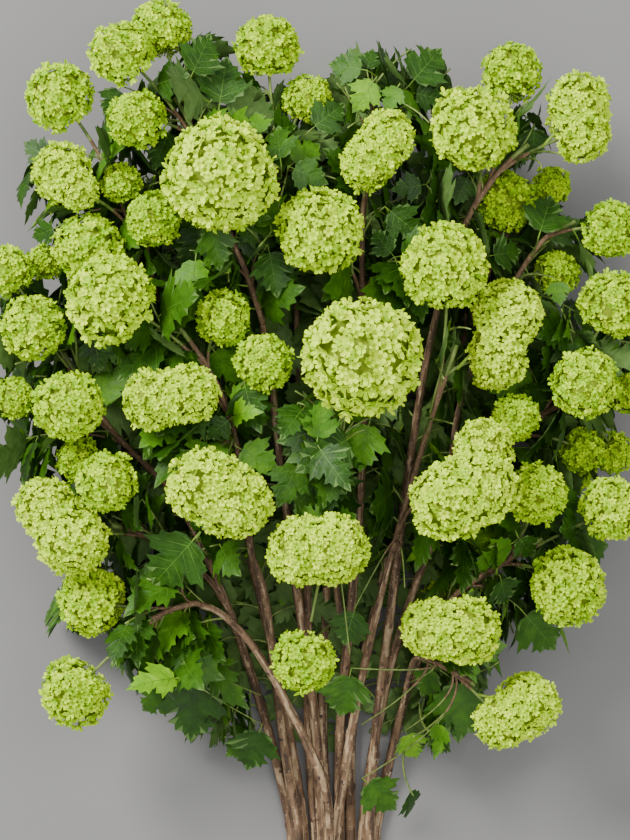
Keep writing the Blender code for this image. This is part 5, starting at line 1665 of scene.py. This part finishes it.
# The floor, in metres, and each light's place, width in metres, power in watts and colour
FLOOR_HALF = 4
FLOOR_HEIGHT = -0.0004
LIGHTS = {
    "key": ((-1.4, 1.3, 2.1), 1.1, 108, (1.0, 0.99, 0.96)),
    "fill": ((0.5, 0.3, 2.5), 1.6, 28, (0.98, 0.99, 1.0)),
    "low": ((0.2, -1.8, 1.8), 1.8, 10, (1.0, 1.0, 1.0)),
}
LIT_PLACE = (0, 0.06, 0.1)
DAYLIGHT = (0.97, 0.98, 1.0, 1)
DAYLIGHT_STRENGTH = 0.60
CAMERA_PLACE = (0, 0.05925, 2.14)
LENS = 114.29  # in millimetres, as is the width of what it falls on
SENSOR_WIDTH = 36


def make_studio():
    """The floor, the lights and the camera, which looks straight down on the bunch."""
    make_floor()
    for name, (place, width, power, colour) in LIGHTS.items():
        area_light(name, place, LIT_PLACE, width, power, colour)
    world = bpy.data.worlds.new("studio")
    world.use_nodes = True
    inputs = world.node_tree.nodes["Background"].inputs
    inputs["Color"].default_value = DAYLIGHT
    inputs["Strength"].default_value = DAYLIGHT_STRENGTH
    bpy.context.scene.world = world
    data = bpy.data.cameras.new("camera")
    data.lens = LENS
    data.sensor_width = SENSOR_WIDTH
    data.clip_start, data.clip_end = 0.05, 20
    camera = add_object("camera", data)
    camera.location = CAMERA_PLACE
    bpy.context.scene.camera = camera


def wood_finishes():
    """The bark of limbs, and of twigs: lists in the order that PLAIN, SCAR and the others give."""
    bark = bark_finish("bark", (106, 80, 56), (142, 112, 82))
    pale = bark_finish("bark_pale", (150, 122, 88), (192, 166, 130))
    deep = bark_finish("bark_deep", (72, 53, 38), (102, 78, 56))
    scar = finish("bark_knots", (58, 42, 36), (96, 74, 60), 500, (0.7, 0.95), (1400, 0.5, 0.0004))
    cut = finish("cut_wood", (196, 178, 132), (222, 206, 164), 700, (0.7, 0.9), (1500, 0.3, 0.0003))
    young = finish("young_twig", (92, 116, 44), (136, 156, 76), 240, (0.45, 0.7), (900, 0.3, 0.0003),
                   (1, 0.3, 1))
    return [bark, scar, cut, pale, deep], [bark, scar, young]


def several(rows, *shared, **sockets):
    """Finishes that differ only in their name and their two colours."""
    return [finish(*row, *shared, **sockets) for row in rows]


LEAF_COLOURS = (
    ("leaf_dark", (32, 65, 4), (45, 85, 7)), ("leaf_mid", (44, 84, 6), (62, 106, 10)),
    ("leaf_fresh", (66, 116, 9), (88, 138, 16)), ("leaf_young", (96, 150, 12), (122, 172, 24)),
)
# The two throat colours are the florets' greener middles, and darker than the petals as painted shade
# inside the cups.
PETAL_COLOURS = (
    ("petal_green", (150, 198, 4), (172, 216, 10)), ("petal_lime", (174, 218, 8), (196, 232, 18)),
    ("petal_pale", (194, 232, 18), (210, 242, 34)), ("petal_cream", (208, 242, 38), (226, 250, 66)),
    ("throat_green", (120, 148, 0), (142, 168, 0)), ("throat_lime", (154, 182, 1), (172, 198, 3)),
)


def dress_foliage(limbs, axes, heads, twigs, cad_leaves, shown, twig_finishes):
    """Leaves, leafy shoots and twigs, in the room that limbs and heads leave."""
    leaves = Leaves(np.random.default_rng(SEED + 50))
    room = Room(*CAD_BOUNDS, shown)
    for line in [*limbs.values(), *axes.values()]:
        room.fill_balls(beads_of(*line))
    for head in heads:
        room.fill_balls([(*lobe.middle, lobe.radius) for lobe in head.lobes])
    for _, twig in (pair for mass in twigs for pair in twigs[mass]):
        room.fill(curve_of(twig))
    for mass in cad_leaves:
        for matrix, length in cad_leaves[mass]:
            leaves.add(matrix, leaves.draw_shape(length, True))
    room.fill(laid(LEAF_TEST, np.array(leaves.turns), np.array(leaves.places),
                   np.array(leaves.shapes)).reshape(-1, 3))
    fine = grow_fine(axes, twigs, leaves, room) + grow_stem_shoots(limbs, leaves, room)
    make_twigs(axes, twigs, fine, twig_finishes)
    greens = several(LEAF_COLOURS, 110, (0.34, 0.60), (420, 0.7, 0.0009), Specular_IOR_Level=0.28)
    under = finish("leaf_underside", (72, 104, 40), (94, 126, 56), 130, (0.6, 0.8), (500, 0.5, 0.0006))
    vein = finish("leaf_vein", (60, 102, 14), (80, 122, 24), 200, (0.5, 0.65), (600, 0.2, 0.0003))
    stalk = finish("leaf_stalk", (100, 140, 36), (132, 166, 56), 200, (0.45, 0.6), (700, 0.2, 0.0003))
    make_leaves(leaves, greens, under, vein, stalk, list(axes))


def dress_heads(twigs):
    """Every head's florets: a piece for each large head, and two for all the small ones."""
    petals = several(PETAL_COLOURS, 260, (0.6, 0.75), (1200, 0.25, 0.0003), Specular_IOR_Level=0.12)
    # The ball behind the florets is green like the inner florets, and darker as painted shade in the gaps
    # between them.
    shaded_core = finish("head_core", (112, 132, 1), (134, 152, 5), 300, (0.7, 0.9), (900, 0.5, 0.0006))
    ray = finish("flower_stalk", (134, 172, 40), (162, 196, 66), 240, (0.45, 0.6), (900, 0.2, 0.0003))
    rng = np.random.default_rng(SEED + 70)
    shaded_cores, stalks, small = Batch(), Batch(), [Batch(), Batch()]
    for head, twig in (pair for mass in twigs for pair in twigs[mass]):
        if not head.lobes:
            continue
        florets = Batch() if head.large else small[head.lobes[0].middle.x > 0]
        make_head(head, twig, florets, shaded_cores, stalks, rng)
        if head.large:
            florets.piece("florets_" + head.name, petals, "flower_heads", [head.name], smooth=False)
    for side, batch in zip(("left", "right"), small):
        batch.piece("florets_small_" + side, petals, "flower_heads", [], smooth=False)
    shaded_cores.piece("head_cores", [shaded_core], "flower_heads", [])
    stalks.piece("flower_stalks", [ray], "flower_heads", [])


def main():
    """Grows the bunch and dresses it, then sets up the floor, the lights and the camera."""
    limbs, axes, heads, twigs, cad_leaves, shown = grow()
    limb_finishes, twig_finishes = wood_finishes()
    for number, (name, limb) in enumerate(limbs.items()):
        make_bark(name, limb, limb_finishes, SEED * 100 + number)
    dress_foliage(limbs, axes, heads, twigs, cad_leaves, shown, twig_finishes)
    dress_heads(twigs)
    make_studio()


main()
